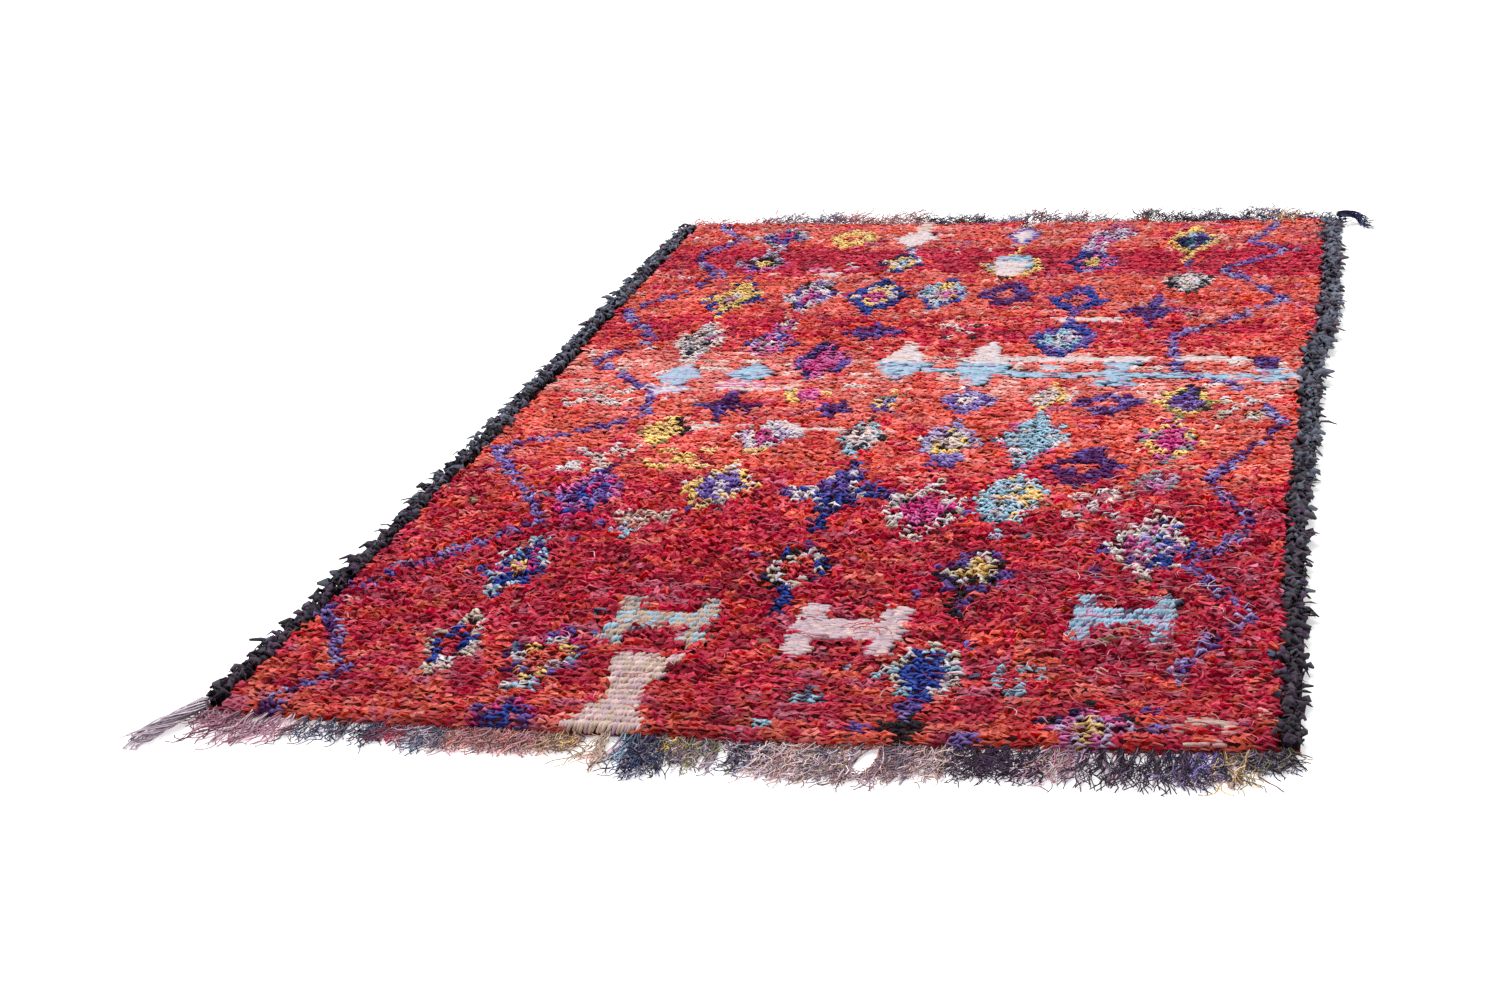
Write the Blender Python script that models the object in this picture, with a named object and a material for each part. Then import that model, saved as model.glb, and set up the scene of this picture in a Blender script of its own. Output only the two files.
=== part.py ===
"""Boucherouite rug, lying flat: a red rag-pile field, a dark shaggy border knotted down each long side,
and a woven end strip with loose warp fringe at each end.

Metres, +Z up. The origin is on the floor under the middle of the field. X runs across the rug, and Y along
its length, from the long near fringe at -Y to the short far fringe at +Y.
"""

import math

import bmesh
import bpy
from mathutils import Vector, noise

GAP = 0.0008  # clearance between neighbouring solids

# The field: a slab of rag pile, trodden lumpy, that lies on its flat woven back.
PILE_HEIGHT = 0.022
LUMP_HEIGHT = 0.0055
LUMP_SIZE = 0.055
SWELL_HEIGHT = 0.004
SWELL_SIZE = 0.35
FIELD_COLUMNS = 30
FIELD_ROWS = 54
ROUGH_WIDTH = 1.32  # of the grid, before its points move out to the woven edges
RIM_BULGE = 0.003
RIM_HEIGHT = 0.010
SOLE_INSET = 0.002
FIELD_EDGE_BEYOND = (0.62, 1.20)  # across and along, farther out than this is rim

# One soft buckle runs slantwise through the middle, where the rug was folded in store.
BUCKLE_HEIGHT = 0.007
BUCKLE_WIDTH = 0.045
BUCKLE_FROM = (-0.02, 0.30)
BUCKLE_TO = (0.06, -0.32)

# The side borders: dark rag locks, longer than the pile, that stick out past the edge cord.
BORDER_WIDTH = 0.040
BORDER_HEIGHT = 0.021
BORDER_END_INSET = 0.004
BORDER_CORNER = 1.2  # along the rug, where the two ends are read for a border's length
CROWN_WANDER = 0.004
CROWN_WANDER_SIZE = 0.05
LOCKS_A_SIDE = 50
LOCK_REACH = 0.013
LOCK_UNEVENNESS = 0.5
LOCK_UNEVENNESS_SIZE = 0.03
LOCK_DROOP = 0.007
LOCK_BOTTOM = 0.003
LOCK_TOP = 0.010
BETWEEN_LOCKS_REACH = -0.002
BORDER_SECTION = (
    # share of the width, share of the crown's height
    (0.00, 0.00),
    (0.00, 0.72),
    (0.35, 1.00),
    (0.78, 0.80),
)

# The fringe: warp yarns left loose beyond a narrow woven end strip.
STRIP_WIDTH = 0.014
STRIP_HEIGHT = 0.006
STRIP_END_INSET = 0.004
STRANDS_AN_END = 97
STRAND_WIDTH = 0.0058
STRAND_HEIGHT = 0.0045
STRAND_STEPS = 4
STRAND_WAVER = 0.0028
STRAND_WAVER_SIZE = 0.45
REACH_SHARE = 0.88  # of the reach in the table, with this much wander from strand to strand
REACH_WANDER = 0.30
TIP_SHARE = 0.35

# The rug's woven edges, as uneven as they were beaten and pulled. Each row is one section.
SIDE_SECTIONS = (
    # along, left edge, right edge
    (-1.26, -0.700, 0.698),
    (-1.08, -0.696, 0.694),
    (-0.92, -0.688, 0.692),
    (-0.66, -0.686, 0.684),
    (-0.39, -0.692, 0.680),
    (-0.28, -0.689, 0.686),
    (0.06, -0.693, 0.687),
    (0.28, -0.697, 0.686),
    (0.56, -0.703, 0.706),
    (0.90, -0.709, 0.704),
    (1.26, -0.712, 0.699),
)
END_SECTIONS = (
    # across, near end, far end
    (-0.70, -1.224, 1.232),
    (-0.61, -1.252, 1.238),
    (-0.36, -1.258, 1.246),
    (-0.16, -1.262, 1.250),
    (0.06, -1.258, 1.251),
    (0.40, -1.242, 1.254),
    (0.61, -1.232, 1.262),
    (0.70, -1.212, 1.266),
)
NEAR_FRINGE = (
    # across, reach, lean
    (-0.70, 0.045, -0.020),
    (-0.64, 0.072, -0.026),
    (-0.56, 0.056, -0.012),
    (-0.46, 0.060, 0.008),
    (-0.34, 0.062, 0.000),
    (-0.22, 0.048, -0.006),
    (-0.16, 0.020, 0.004),
    (-0.13, 0.090, 0.012),
    (-0.07, 0.106, 0.012),
    (-0.02, 0.062, 0.006),
    (0.10, 0.090, -0.008),
    (0.19, 0.104, -0.010),
    (0.27, 0.072, -0.012),
    (0.34, 0.046, -0.008),
    (0.40, 0.080, 0.004),
    (0.54, 0.088, -0.006),
    (0.61, 0.092, 0.006),
    (0.66, 0.050, 0.010),
    (0.70, 0.064, 0.014),
)
FAR_FRINGE = (
    # across, reach, lean
    (-0.70, 0.020, -0.004),
    (-0.58, 0.026, 0.004),
    (-0.50, 0.070, 0.008),
    (-0.36, 0.074, -0.006),
    (-0.22, 0.052, 0.006),
    (-0.12, 0.034, 0.006),
    (-0.02, 0.046, -0.004),
    (0.10, 0.076, 0.004),
    (0.26, 0.084, 0.010),
    (0.36, 0.066, -0.006),
    (0.48, 0.100, 0.004),
    (0.60, 0.080, 0.006),
    (0.70, 0.066, 0.012),
)

# One thick lock of gathered warps hangs off a corner of each end.
TAIL_WIDTH = 0.020
TAIL_HEIGHT = 0.009
NEAR_TAIL = ((-0.700, -1.262), (-0.716, -1.290), (-0.730, -1.320), (-0.742, -1.346), (-0.750, -1.362))
FAR_TAIL = ((0.704, 1.300), (0.724, 1.312), (0.742, 1.302), (0.751, 1.276), (0.756, 1.248))

CRIMSON_RAG = (0.42, 0.035, 0.045, 1.0)
CHARCOAL_RAG = (0.030, 0.027, 0.034, 1.0)
HAIR_YARN = (0.20, 0.14, 0.15, 1.0)


def smooth(share):
    return share * share * (3 - 2 * share)


def read(table, column, at):
    """A column of a section table at this place, eased between its rows."""
    if at <= table[0][0]:
        return table[0][column]
    for low, high in zip(table, table[1:]):
        if at <= high[0]:
            share = smooth((at - low[0]) / (high[0] - low[0]))
            return low[column] + share * (high[column] - low[column])
    return table[-1][column]


def left_edge(along):
    return read(SIDE_SECTIONS, 1, along)


def right_edge(along):
    return read(SIDE_SECTIONS, 2, along)


def near_end(across):
    return read(END_SECTIONS, 1, across)


def far_end(across):
    return read(END_SECTIONS, 2, across)


def wander(x, y, size, seed):
    """Smooth noise from -1 to 1, with features about this size."""
    return noise.noise(Vector((x / size, y / size, seed)))


def buckle(x, y):
    """Height of the soft slanting ridge at this place."""
    start, end = Vector(BUCKLE_FROM), Vector(BUCKLE_TO)
    run = end - start
    away = Vector((x, y)) - start
    share = max(0.0, min(1.0, away.dot(run) / run.length_squared))
    aside = (away - run * share).length / BUCKLE_WIDTH
    return BUCKLE_HEIGHT * math.exp(-aside * aside) * math.sin(math.pi * (0.15 + 0.7 * share))


def pile_top(x, y):
    """Height of the pile's surface above the floor."""
    lumps = LUMP_HEIGHT * wander(x, y, LUMP_SIZE, 3.7)
    swell = SWELL_HEIGHT * wander(x, y, SWELL_SIZE, 8.1)
    return PILE_HEIGHT + lumps + swell + buckle(x, y)


def material(name, colour, roughness):
    made = bpy.data.materials.new(name)
    made.use_nodes = True
    shader = made.node_tree.nodes["Principled BSDF"]
    shader.inputs["Base Color"].default_value = colour
    shader.inputs["Roughness"].default_value = roughness
    shader.inputs["Metallic"].default_value = 0.0
    return made


def add_object(name, bm, finish, sharp_degrees=50):
    """Turns a finished bmesh into a named object in the scene."""
    bmesh.ops.recalc_face_normals(bm, faces=bm.faces)
    mesh = bpy.data.meshes.new(name)
    bm.to_mesh(mesh)
    bm.free()
    mesh.materials.append(finish)
    mesh.shade_smooth()
    mesh.set_sharp_from_angle(angle=math.radians(sharp_degrees))
    made = bpy.data.objects.new(name, mesh)
    bpy.context.scene.collection.objects.link(made)
    return made


def boundary(bm):
    return [edge for edge in bm.edges if edge.is_boundary]


def extrude_rim(bm):
    """Extrudes the open edges once, and returns the new points."""
    grown = bmesh.ops.extrude_edge_only(bm, edges=boundary(bm))["geom"]
    return [part for part in grown if isinstance(part, bmesh.types.BMVert)]


def close_sole(bm):
    """Fills the open edges with one flat face."""
    bmesh.ops.holes_fill(bm, edges=boundary(bm), sides=0)


def rug_field(finish):
    """The pile field: a lumpy slab with a rounded rim and a flat back."""
    inner = BORDER_WIDTH + GAP
    bm = bmesh.new()
    bmesh.ops.create_grid(bm, x_segments=FIELD_COLUMNS, y_segments=FIELD_ROWS, size=0.5)
    for vert in bm.verts:
        across, along = vert.co.x + 0.5, vert.co.y + 0.5
        rough_x = (across - 0.5) * ROUGH_WIDTH
        y = near_end(rough_x) + along * (far_end(rough_x) - near_end(rough_x))
        low, high = left_edge(y) + inner, right_edge(y) - inner
        x = low + across * (high - low)
        vert.co = (x, y, pile_top(x, y))
    for height, inset in ((RIM_HEIGHT, 0.0), (0.0, SOLE_INSET)):
        for vert in extrude_rim(bm):
            vert.co.z = height
            if abs(vert.co.x) > FIELD_EDGE_BEYOND[0]:
                vert.co.x -= math.copysign(inset, vert.co.x)
            if abs(vert.co.y) > FIELD_EDGE_BEYOND[1]:
                vert.co.y -= math.copysign(inset, vert.co.y)
    close_sole(bm)
    return add_object("rug_field", bm, finish)


def border_profile(edge, side, reach, crown):
    """A border's section from its inner foot, over the crown, to the lock's tip and the outer foot."""
    inner = edge - side * BORDER_WIDTH
    over = [(inner + side * out * BORDER_WIDTH, up * crown) for out, up in BORDER_SECTION]
    tip = edge + side * reach
    return over + [(tip, LOCK_TOP), (tip, LOCK_BOTTOM), (edge, 0.0)]


def side_border(name, edge_at, finish):
    """A dark border: its section run along the edge, with a drooping lock at every other station."""
    stations = 2 * LOCKS_A_SIDE
    side = math.copysign(1.0, edge_at(0.0))
    start = near_end(edge_at(-BORDER_CORNER)) + BORDER_END_INSET
    end = far_end(edge_at(BORDER_CORNER)) - BORDER_END_INSET
    bm = bmesh.new()
    face = None
    for station in range(stations + 1):
        y = start + (end - start) * station / stations
        edge = edge_at(y)
        is_lock = station % 2 == 1
        unevenness = LOCK_UNEVENNESS * wander(edge, y, LOCK_UNEVENNESS_SIZE, 5.3)
        reach = LOCK_REACH * (0.75 + unevenness) if is_lock else BETWEEN_LOCKS_REACH
        crown = BORDER_HEIGHT + CROWN_WANDER * wander(edge, y, CROWN_WANDER_SIZE, 1.9)
        profile = border_profile(edge, side, reach, crown)
        droop = LOCK_DROOP if is_lock else 0.0
        points = [Vector((x, y - (droop if abs(x) > abs(edge) else 0.0), z)) for x, z in profile]
        if face is None:
            face = bm.faces.new([bm.verts.new(point) for point in points])
            continue
        face = bmesh.ops.extrude_discrete_faces(bm, faces=[face])["faces"][0]
        for vert, point in zip(face.verts, points):
            vert.co = point
    close_sole(bm)
    return add_object(name, bm, finish)


def strand_path(root, outward, reach, lean, seed):
    """Points of one loose warp on the floor, from its root, that wavers a little."""
    points = []
    for step in range(1, STRAND_STEPS + 1):
        share = step / STRAND_STEPS
        waver = STRAND_WAVER * share * wander(seed * 0.37, share, STRAND_WAVER_SIZE, 2.2)
        points.append(Vector((root.x + lean * share + waver, root.y + outward * reach * share, 0.0)))
    return points


def sweep(bm, face, path, width, height):
    """Draws an end strip's wall face out along a path, tapering, with its underside on the floor."""
    here = face.calc_center_median()
    here.z = 0.0
    for step, point in enumerate(path, start=1):
        share = step / len(path)
        taper = 1 - (1 - TIP_SHARE) * share * share
        face = bmesh.ops.extrude_discrete_faces(bm, faces=[face])["faces"][0]
        ahead = path[min(step, len(path) - 1)] - (path[step - 2] if step > 1 else here)
        aside = Vector((-ahead.y, ahead.x, 0.0)).normalized()
        centre = face.calc_center_median()
        for vert in face.verts:
            way = 1 if (vert.co - centre).dot(aside) > 0 else -1
            top = height * taper if vert.co.z > 0.5 * STRIP_HEIGHT * TIP_SHARE else 0.0
            vert.co = point + aside * (way * 0.5 * width * taper)
            vert.co.z = top
    return face


def fringe(name, outward, end_at, table, tail, tail_side, finish):
    """A woven end strip with its warps: one slab whose outer wall is drawn out into strands."""
    segments = 2 * STRANDS_AN_END + 1
    corner = outward * SIDE_SECTIONS[-1][0]
    low = left_edge(corner) + STRIP_END_INSET
    high = right_edge(corner) - STRIP_END_INSET
    pitch = (high - low) / STRANDS_AN_END
    bm = bmesh.new()
    bmesh.ops.create_grid(bm, x_segments=segments, y_segments=1, size=0.5)
    half_gap = 0.5 * (pitch - STRAND_WIDTH)
    for vert in bm.verts:
        column = round((vert.co.x + 0.5) * segments)
        gap_index, is_after = divmod(column, 2)
        x = low + gap_index * pitch + (half_gap if is_after else -half_gap)
        x = min(max(x, low), high)
        is_outer = vert.co.y * outward > 0
        y = end_at(x) + outward * (GAP + RIM_BULGE + (STRIP_WIDTH if is_outer else 0.0))
        vert.co = (x, y, STRIP_HEIGHT)
    for vert in extrude_rim(bm):
        vert.co.z = 0.0
    close_sole(bm)
    bmesh.ops.recalc_face_normals(bm, faces=bm.faces)
    bm.faces.ensure_lookup_table()
    walls = [
        face
        for face in bm.faces
        if face.normal.y * outward > 0.7 and abs(face.normal.z) < 0.1
    ]
    walls.sort(key=lambda face: face.calc_center_median().x)
    roots = walls[1::2]
    tail_root = roots[0] if tail_side < 0 else roots[-1]
    for index, root in enumerate(roots):
        centre = root.calc_center_median()
        if root is tail_root:
            sweep(bm, root, [Vector((x, y, 0.0)) for x, y in tail], TAIL_WIDTH, TAIL_HEIGHT)
            continue
        reach = read(table, 1, centre.x) * (REACH_SHARE + REACH_WANDER * wander(index, 0.5, 1.7, 6.1))
        lean = read(table, 2, centre.x)
        path = strand_path(centre, outward, reach, lean, index)
        sweep(bm, root, path, STRAND_WIDTH, STRAND_HEIGHT)
    return add_object(name, bm, finish)


def build():
    for old in list(bpy.data.objects):
        bpy.data.objects.remove(old)
    rag = material("crimson rag pile", CRIMSON_RAG, 0.85)
    dark = material("charcoal rag locks", CHARCOAL_RAG, 0.9)
    yarn = material("mixed hair and cotton warps", HAIR_YARN, 0.9)
    rug_field(rag)
    side_border("border_left", left_edge, dark)
    side_border("border_right", right_edge, dark)
    fringe("fringe_near", -1.0, near_end, NEAR_FRINGE, NEAR_TAIL, -1, yarn)
    fringe("fringe_far", 1.0, far_end, FAR_FRINGE, FAR_TAIL, 1, yarn)


build()
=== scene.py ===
"""The looks of a boucherouite rug: rag pile, yarn and flat-woven motifs, charcoal borders and warp fringe.

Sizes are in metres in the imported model's frame: X across the rug, Y along it, and the floor at Z = 0.
"""

import math

import bmesh
import bpy
import numpy as np
from mathutils import Matrix, Vector
from mathutils.bvhtree import BVHTree


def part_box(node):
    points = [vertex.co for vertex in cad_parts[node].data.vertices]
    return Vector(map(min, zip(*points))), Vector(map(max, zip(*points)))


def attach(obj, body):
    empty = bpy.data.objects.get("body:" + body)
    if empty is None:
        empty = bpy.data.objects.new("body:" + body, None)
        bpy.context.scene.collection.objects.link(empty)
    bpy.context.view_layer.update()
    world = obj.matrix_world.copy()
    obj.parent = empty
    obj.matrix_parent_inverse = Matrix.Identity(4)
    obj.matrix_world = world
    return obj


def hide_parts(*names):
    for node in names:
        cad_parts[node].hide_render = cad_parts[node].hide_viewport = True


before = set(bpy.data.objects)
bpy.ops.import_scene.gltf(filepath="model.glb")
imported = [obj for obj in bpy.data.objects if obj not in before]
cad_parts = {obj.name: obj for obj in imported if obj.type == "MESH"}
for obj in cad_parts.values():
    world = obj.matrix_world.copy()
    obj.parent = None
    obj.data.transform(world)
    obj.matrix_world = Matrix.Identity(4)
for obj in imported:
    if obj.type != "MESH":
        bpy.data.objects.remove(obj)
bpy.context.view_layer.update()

# The camera.
# It stands in front of the rug's near end, a little to the right and 1.3 m above the floor, and looks down at
# a slant with the frame tipped a few degrees.
CAMERA_PLACE = (0.7574, -3.9191, 1.3210)
CAMERA_YAW, CAMERA_PITCH, CAMERA_ROLL = 14.725, -20.052, -3.768  # degrees
LENS_MM, SENSOR_MM = 60.0, 36.0


def put(name, data):
    """A new object in the scene."""
    made = bpy.data.objects.new(name, data)
    bpy.context.scene.collection.objects.link(made)
    return made


camera_data = bpy.data.cameras.new("camera")
camera_data.lens = LENS_MM
camera_data.sensor_width = SENSOR_MM
camera = put("camera", camera_data)
camera.matrix_world = (
    Matrix.Translation(CAMERA_PLACE)
    @ Matrix.Rotation(math.radians(CAMERA_YAW), 4, "Z")
    @ Matrix.Rotation(math.radians(90 + CAMERA_PITCH), 4, "X")
    @ Matrix.Rotation(math.radians(CAMERA_ROLL), 4, "Z")
)
bpy.context.scene.camera = camera

# The studio.
# A white floor, lit through from below so that nothing casts a shadow on it, which runs out of view on every
# side. Over it are a broad soft light and a white room, as for a shop's picture of a rug.
FLOOR_SIZE = 60.0
FLOOR_GREY, FLOOR_WHITE = "#f8f8f8", "#fbfbfb"
FLOOR_DROP = 0.0005  # under the rug's back
FLOOR_GLOW = 0.40
LIGHT_FROM = (-0.50, 0.55, 1.0)  # from behind and to the left of the rug, high up
LIGHT_SPREAD = 50.0  # degrees, as from a big soft box
LIGHT_STRENGTH = 2.45
ROOM_STRENGTH = 0.70


def dye(code):
    """An sRGB hex colour as linear RGB."""
    parts = [int(code[at : at + 2], 16) / 255 for at in (1, 3, 5)]
    return tuple(part / 12.92 if part <= 0.04045 else ((part + 0.055) / 1.055) ** 2.4 for part in parts)


def finish(name):
    """A new material, its tree and its Principled shader."""
    made = bpy.data.materials.new(name)
    made.use_nodes = True
    return made, made.node_tree, made.node_tree.nodes["Principled BSDF"]


def set_up(node, links, **settings):
    """Sets a node. Each setting is one of its properties, or else the value of the input of that name."""
    for key, value in settings.items():
        if hasattr(node, key):
            setattr(node, key, value)
        else:
            node.inputs[key.replace("_", " ")].default_value = value
    for socket, source in links.items():
        node.id_data.links.new(source, node.inputs[socket])
    return node


def add(tree, kind, links=None, **settings):
    """A new node of this kind."""
    return set_up(tree.nodes.new(f"ShaderNode{kind}"), links or {}, **settings)


def two_tone(tree, fac, *stops):
    """A ramp of colour between two stops, each of which is a position and a colour."""
    ramp = add(tree, "ValToRGB", {"Fac": fac})
    for element, (position, code) in zip(ramp.color_ramp.elements, stops):
        element.position = position
        element.color = (*dye(code), 1)
    return ramp.outputs["Color"]


def mesh_of(bm, name):
    """The mesh of a finished drawing, which is then freed."""
    mesh = bpy.data.meshes.new(name)
    bm.to_mesh(mesh)
    bm.free()
    return mesh


# Matt white acrylic with a lamp below it and the faintest mottle.
floor_paint, tree, shader = finish("matt white lit floor")
where = add(tree, "TexCoord")
mottle = add(tree, "TexNoise", {"Vector": where.outputs["Object"]}, Scale=0.8)
set_up(
    shader, {"Base Color": two_tone(tree, mottle.outputs["Fac"], (0, FLOOR_GREY), (1, FLOOR_WHITE))},
    Emission_Color=(1, 1, 1, 1), Emission_Strength=FLOOR_GLOW, Roughness=0.9, Specular_IOR_Level=0.0,
)

bm = bmesh.new()
bmesh.ops.create_grid(bm, x_segments=2, y_segments=2, size=FLOOR_SIZE / 2)
floor = put("floor", mesh_of(bm, "floor"))
floor.data.materials.append(floor_paint)
floor.location.z = -FLOOR_DROP

room = bpy.data.worlds.new("white room")
room.use_nodes = True
set_up(room.node_tree.nodes["Background"], {}, Color=(1, 1, 1, 1), Strength=ROOM_STRENGTH)
bpy.context.scene.world = room
bpy.context.scene.view_settings.view_transform = "Standard"

soft_box = bpy.data.lights.new("soft box", "SUN")
soft_box.angle = math.radians(LIGHT_SPREAD)
soft_box.energy = LIGHT_STRENGTH
put("soft box", soft_box).rotation_euler = Vector(LIGHT_FROM).to_track_quat("Z", "Y").to_euler()

# The woven ground.
# A plain weave of dark red weft over grey-brown warps, which every knot is tied into. It shows at the back
# and as a dark red in the furrows between the rows.
GROUND_THICKNESS = 0.0028
GROUND_LIFT = 0.0004  # over the floor
GROUND_INSET = 0.004  # how far its edges stop short of the outermost knots
RIB_SPACING = 0.0045
WAVE_REPEAT = 0.314  # metres from band to band of a wave texture at a scale of 1
OUTLINE_SAMPLES = 120
BORDER_WIDTH = 0.040
WORN_FROM, WORN_WIDTH = 0.59, 0.10  # how far across the near end starts to wear round, and over how much
LEFT_WEAR, RIGHT_WEAR = 0.014, 0.020  # how much is worn off each near corner


def solid_tree(name):
    """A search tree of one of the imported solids."""
    bm = bmesh.new()
    bm.from_mesh(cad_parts[name].data)
    tree = BVHTree.FromBMesh(bm)
    bm.free()
    return tree


field_tree = solid_tree("rug_field")
field_low, field_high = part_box("rug_field")
LOW_INSIDE = 0.005  # a height at which every section of the field is whole
alongs = np.linspace(-1.2, 1.2, OUTLINE_SAMPLES)
acrosses = np.linspace(-0.62, 0.62, OUTLINE_SAMPLES)


def rim(start, way):
    """Where a ray from inside the field leaves it."""
    return field_tree.ray_cast(Vector(start), Vector(way))[0]


left_rim = np.array([rim((0, y, LOW_INSIDE), (-1, 0, 0)).x for y in alongs])
right_rim = np.array([rim((0, y, LOW_INSIDE), (1, 0, 0)).x for y in alongs])
near_rim = np.array([rim((x, 0, LOW_INSIDE), (0, -1, 0)).y for x in acrosses])
far_rim = np.array([rim((x, 0, LOW_INSIDE), (0, 1, 0)).y for x in acrosses])


def side_at(side, y):
    """Where the field's left or right side is at this distance along."""
    return np.interp(y, alongs, left_rim if side < 0 else right_rim)


def end_at(end, x):
    """Where the field's near or far end is at this distance across. Its two near corners are worn round."""
    if end > 0:
        return np.interp(x, acrosses, far_rim)
    worn = np.clip((np.abs(x) - WORN_FROM) / WORN_WIDTH, 0, 1) ** 2
    return np.interp(x, acrosses, near_rim) + worn * np.where(x > 0, RIGHT_WEAR, LEFT_WEAR)


def place(name, mesh, material, nodes):
    """Puts a finished mesh in the scene, on the rug's body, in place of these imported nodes."""
    mesh.materials.append(material)
    piece = put(name, mesh)
    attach(piece, "root")
    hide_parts(*nodes)
    return piece


# Hand-woven ground cloth: weft ribs across, beaten close, and no gloss.
ground_weave, tree, shader = finish("plain woven wool ground")
where = add(tree, "TexCoord")
ribs = add(
    tree, "TexWave", {"Vector": where.outputs["Object"]},
    bands_direction="Y", Scale=WAVE_REPEAT / RIB_SPACING, Distortion=1.5, Detail=2.0,
)
blotch = add(tree, "TexNoise", {"Vector": where.outputs["Object"]}, Scale=24.0, Detail=4.0)
cloth = two_tone(tree, blotch.outputs["Fac"], (0.3, "#4a1620"), (0.7, "#7c2a30"))
relief = add(tree, "Bump", {"Height": ribs.outputs["Fac"]}, Strength=0.6, Distance=0.0012)
set_up(
    shader, {"Base Color": cloth, "Normal": relief.outputs["Normal"]}, Roughness=0.95, Specular_IOR_Level=0.2,
)

bm = bmesh.new()
bmesh.ops.create_grid(bm, x_segments=24, y_segments=42, size=0.5)
for vert in bm.verts:
    across, along = vert.co.x + 0.5, vert.co.y + 0.5
    guess = vert.co.x * 1.3
    y = end_at(-1, guess) + GROUND_INSET
    y += along * (end_at(1, guess) - GROUND_INSET - y)
    low = side_at(-1, y) - BORDER_WIDTH + GROUND_INSET
    high = side_at(1, y) + BORDER_WIDTH - GROUND_INSET
    vert.co = (low + across * (high - low), y, GROUND_THICKNESS)
bmesh.ops.solidify(bm, geom=bm.faces[:], thickness=GROUND_THICKNESS)
lowest = min(vert.co.z for vert in bm.verts)
bmesh.ops.translate(bm, vec=(0, 0, GROUND_LIFT - lowest), verts=bm.verts)
bmesh.ops.recalc_face_normals(bm, faces=bm.faces)
ground_mesh = mesh_of(bm, "ground_weave")
ground = place("ground_weave", ground_mesh, ground_weave, ["rug_field"])

# The rag pile.
# Strips torn from old jersey and wool cloth, knotted round the warps with their ragged ends left standing.
# Rows are about 24 mm apart, trodden over towards the near end so that the locks overlap like shingles.
ROW_PITCH = 0.024
KNOT_PITCH = 0.0120
PILE_BEYOND_NEAR, PILE_BEYOND_FAR = 0.009, 0.001  # how far the outermost knots lean over the borders
ROWS_BEYOND = 0.006  # how far the first and last rows lean out over the fringe
SIDE_STEP = 0.0022  # how far a knot strays along its row
ROW_STEP = 0.0010  # how far a knot strays across its row
ROW_BEND = 0.003  # how far a row bends off its line
RUN_LENGTH = 0.048  # how much of a row one torn strip ties
LOCK_KINDS = 24
PIECE_LOCKS = 13500  # keeps a piece under 200,000 triangles
LOCK_HEIGHT = 0.0215  # as a lock is drawn, before it is sized to the pile
FLOOR_CLEARANCE = 0.0006  # of the lowest tips
# The root shades are painted shade: how much darker the foot of a copy is drawn than its top.
PILE_ROOT_SHADE, WARP_ROOT_SHADE, ROOT_SHADE = 0.80, 0.88, 0.75  # how bright the foot of a lock is
WAVES = 7  # in a patch of smooth noise
WAVES_TOGETHER = 2.6  # about the square root of their number, which is how far they reach when summed

rng = np.random.default_rng(1105)
pile_pieces = []


def swell(x, y, size_x, size_y, seed):
    """Smooth noise, mostly from -1 to 1, with features of this size."""
    waves = np.random.default_rng(seed)
    total = np.zeros_like(x)
    for _ in range(WAVES):
        turn, phase = waves.uniform(0, 2 * math.pi), waves.uniform(0, 2 * math.pi)
        travel = x * math.cos(turn) / size_x + y * math.sin(turn) / size_y
        total += np.sin(waves.uniform(0.6, 1.5) * math.pi * travel + phase)
    return total / WAVES_TOGETHER


def ring_of(centre, along, side, width, thick, twist):
    """The two edges and the ridge of a section across a path, which lies flat along one side."""
    flat = along.cross(side).normalized()
    side = flat.cross(along).normalized()
    turned = Matrix.Rotation(twist, 3, along.normalized())
    side, flat = turned @ side, turned @ flat
    return centre + side * width / 2, centre + flat * thick, centre - side * width / 2


def steps_of(path):
    """The way that a path runs at each of its points."""
    return [path[min(i + 1, len(path) - 1)] - path[max(i - 1, 0)] for i in range(len(path))]


def drawn_out(rings):
    """A closed strip drawn from a face of corners through each ring of corners in turn."""
    bm = bmesh.new()
    face = bm.faces.new([bm.verts.new(corner) for corner in rings[0]])
    for ring in rings[1:]:
        face = bmesh.ops.extrude_discrete_faces(bm, faces=[face])["faces"][0]
        for vert, corner in zip(face.verts, ring):
            vert.co = corner
    bmesh.ops.holes_fill(bm, edges=[edge for edge in bm.edges if edge.is_boundary], sides=0)
    bmesh.ops.recalc_face_normals(bm, faces=bm.faces)
    return bm


def draw_strip(path, side, widths, thicks, twists):
    """A closed three-cornered strip along a path, flat along one side of it."""
    sections = zip(path, steps_of(path), widths, thicks, twists)
    return drawn_out([ring_of(centre, step, side, *sizes) for centre, step, *sizes in sections])


def rag_lock(draw, length=0.0190, width=0.0060, thick=0.0017, rise=0.020, slope=0.35, rough=0.0007):
    """One rag lock, which stands up out of the ground, falls over and lies along its row like a shingle."""
    length *= draw.uniform(0.72, 1.25)
    width *= draw.uniform(0.78, 1.20)
    way = draw.choice((-1, 1))
    slope += draw.normal(0, 0.20)
    path = [
        Vector((-0.46 * way * length, 0.001, rise * draw.uniform(0.40, 0.60))),
        Vector((-0.04 * way * length, 0, rise)),
        Vector((0.52 * way * length, draw.uniform(-0.004, 0.002), rise * draw.uniform(0.80, 0.98))),
    ]
    twist = draw.uniform(-0.5, 0.5)
    widths = [0.70 * width, 1.05 * width, width * draw.uniform(0.30, 0.65)]
    thicks = [thick, 1.1 * thick, 0.5 * thick]
    side = Vector((0, math.cos(slope), math.sin(slope)))
    bm = draw_strip(path, side, widths, thicks, [twist * share for share in (-0.4, 0.1, 1.0)])
    for vert in bm.verts:
        vert.co += Vector(draw.normal(0, rough, 3))
    return bm


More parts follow.
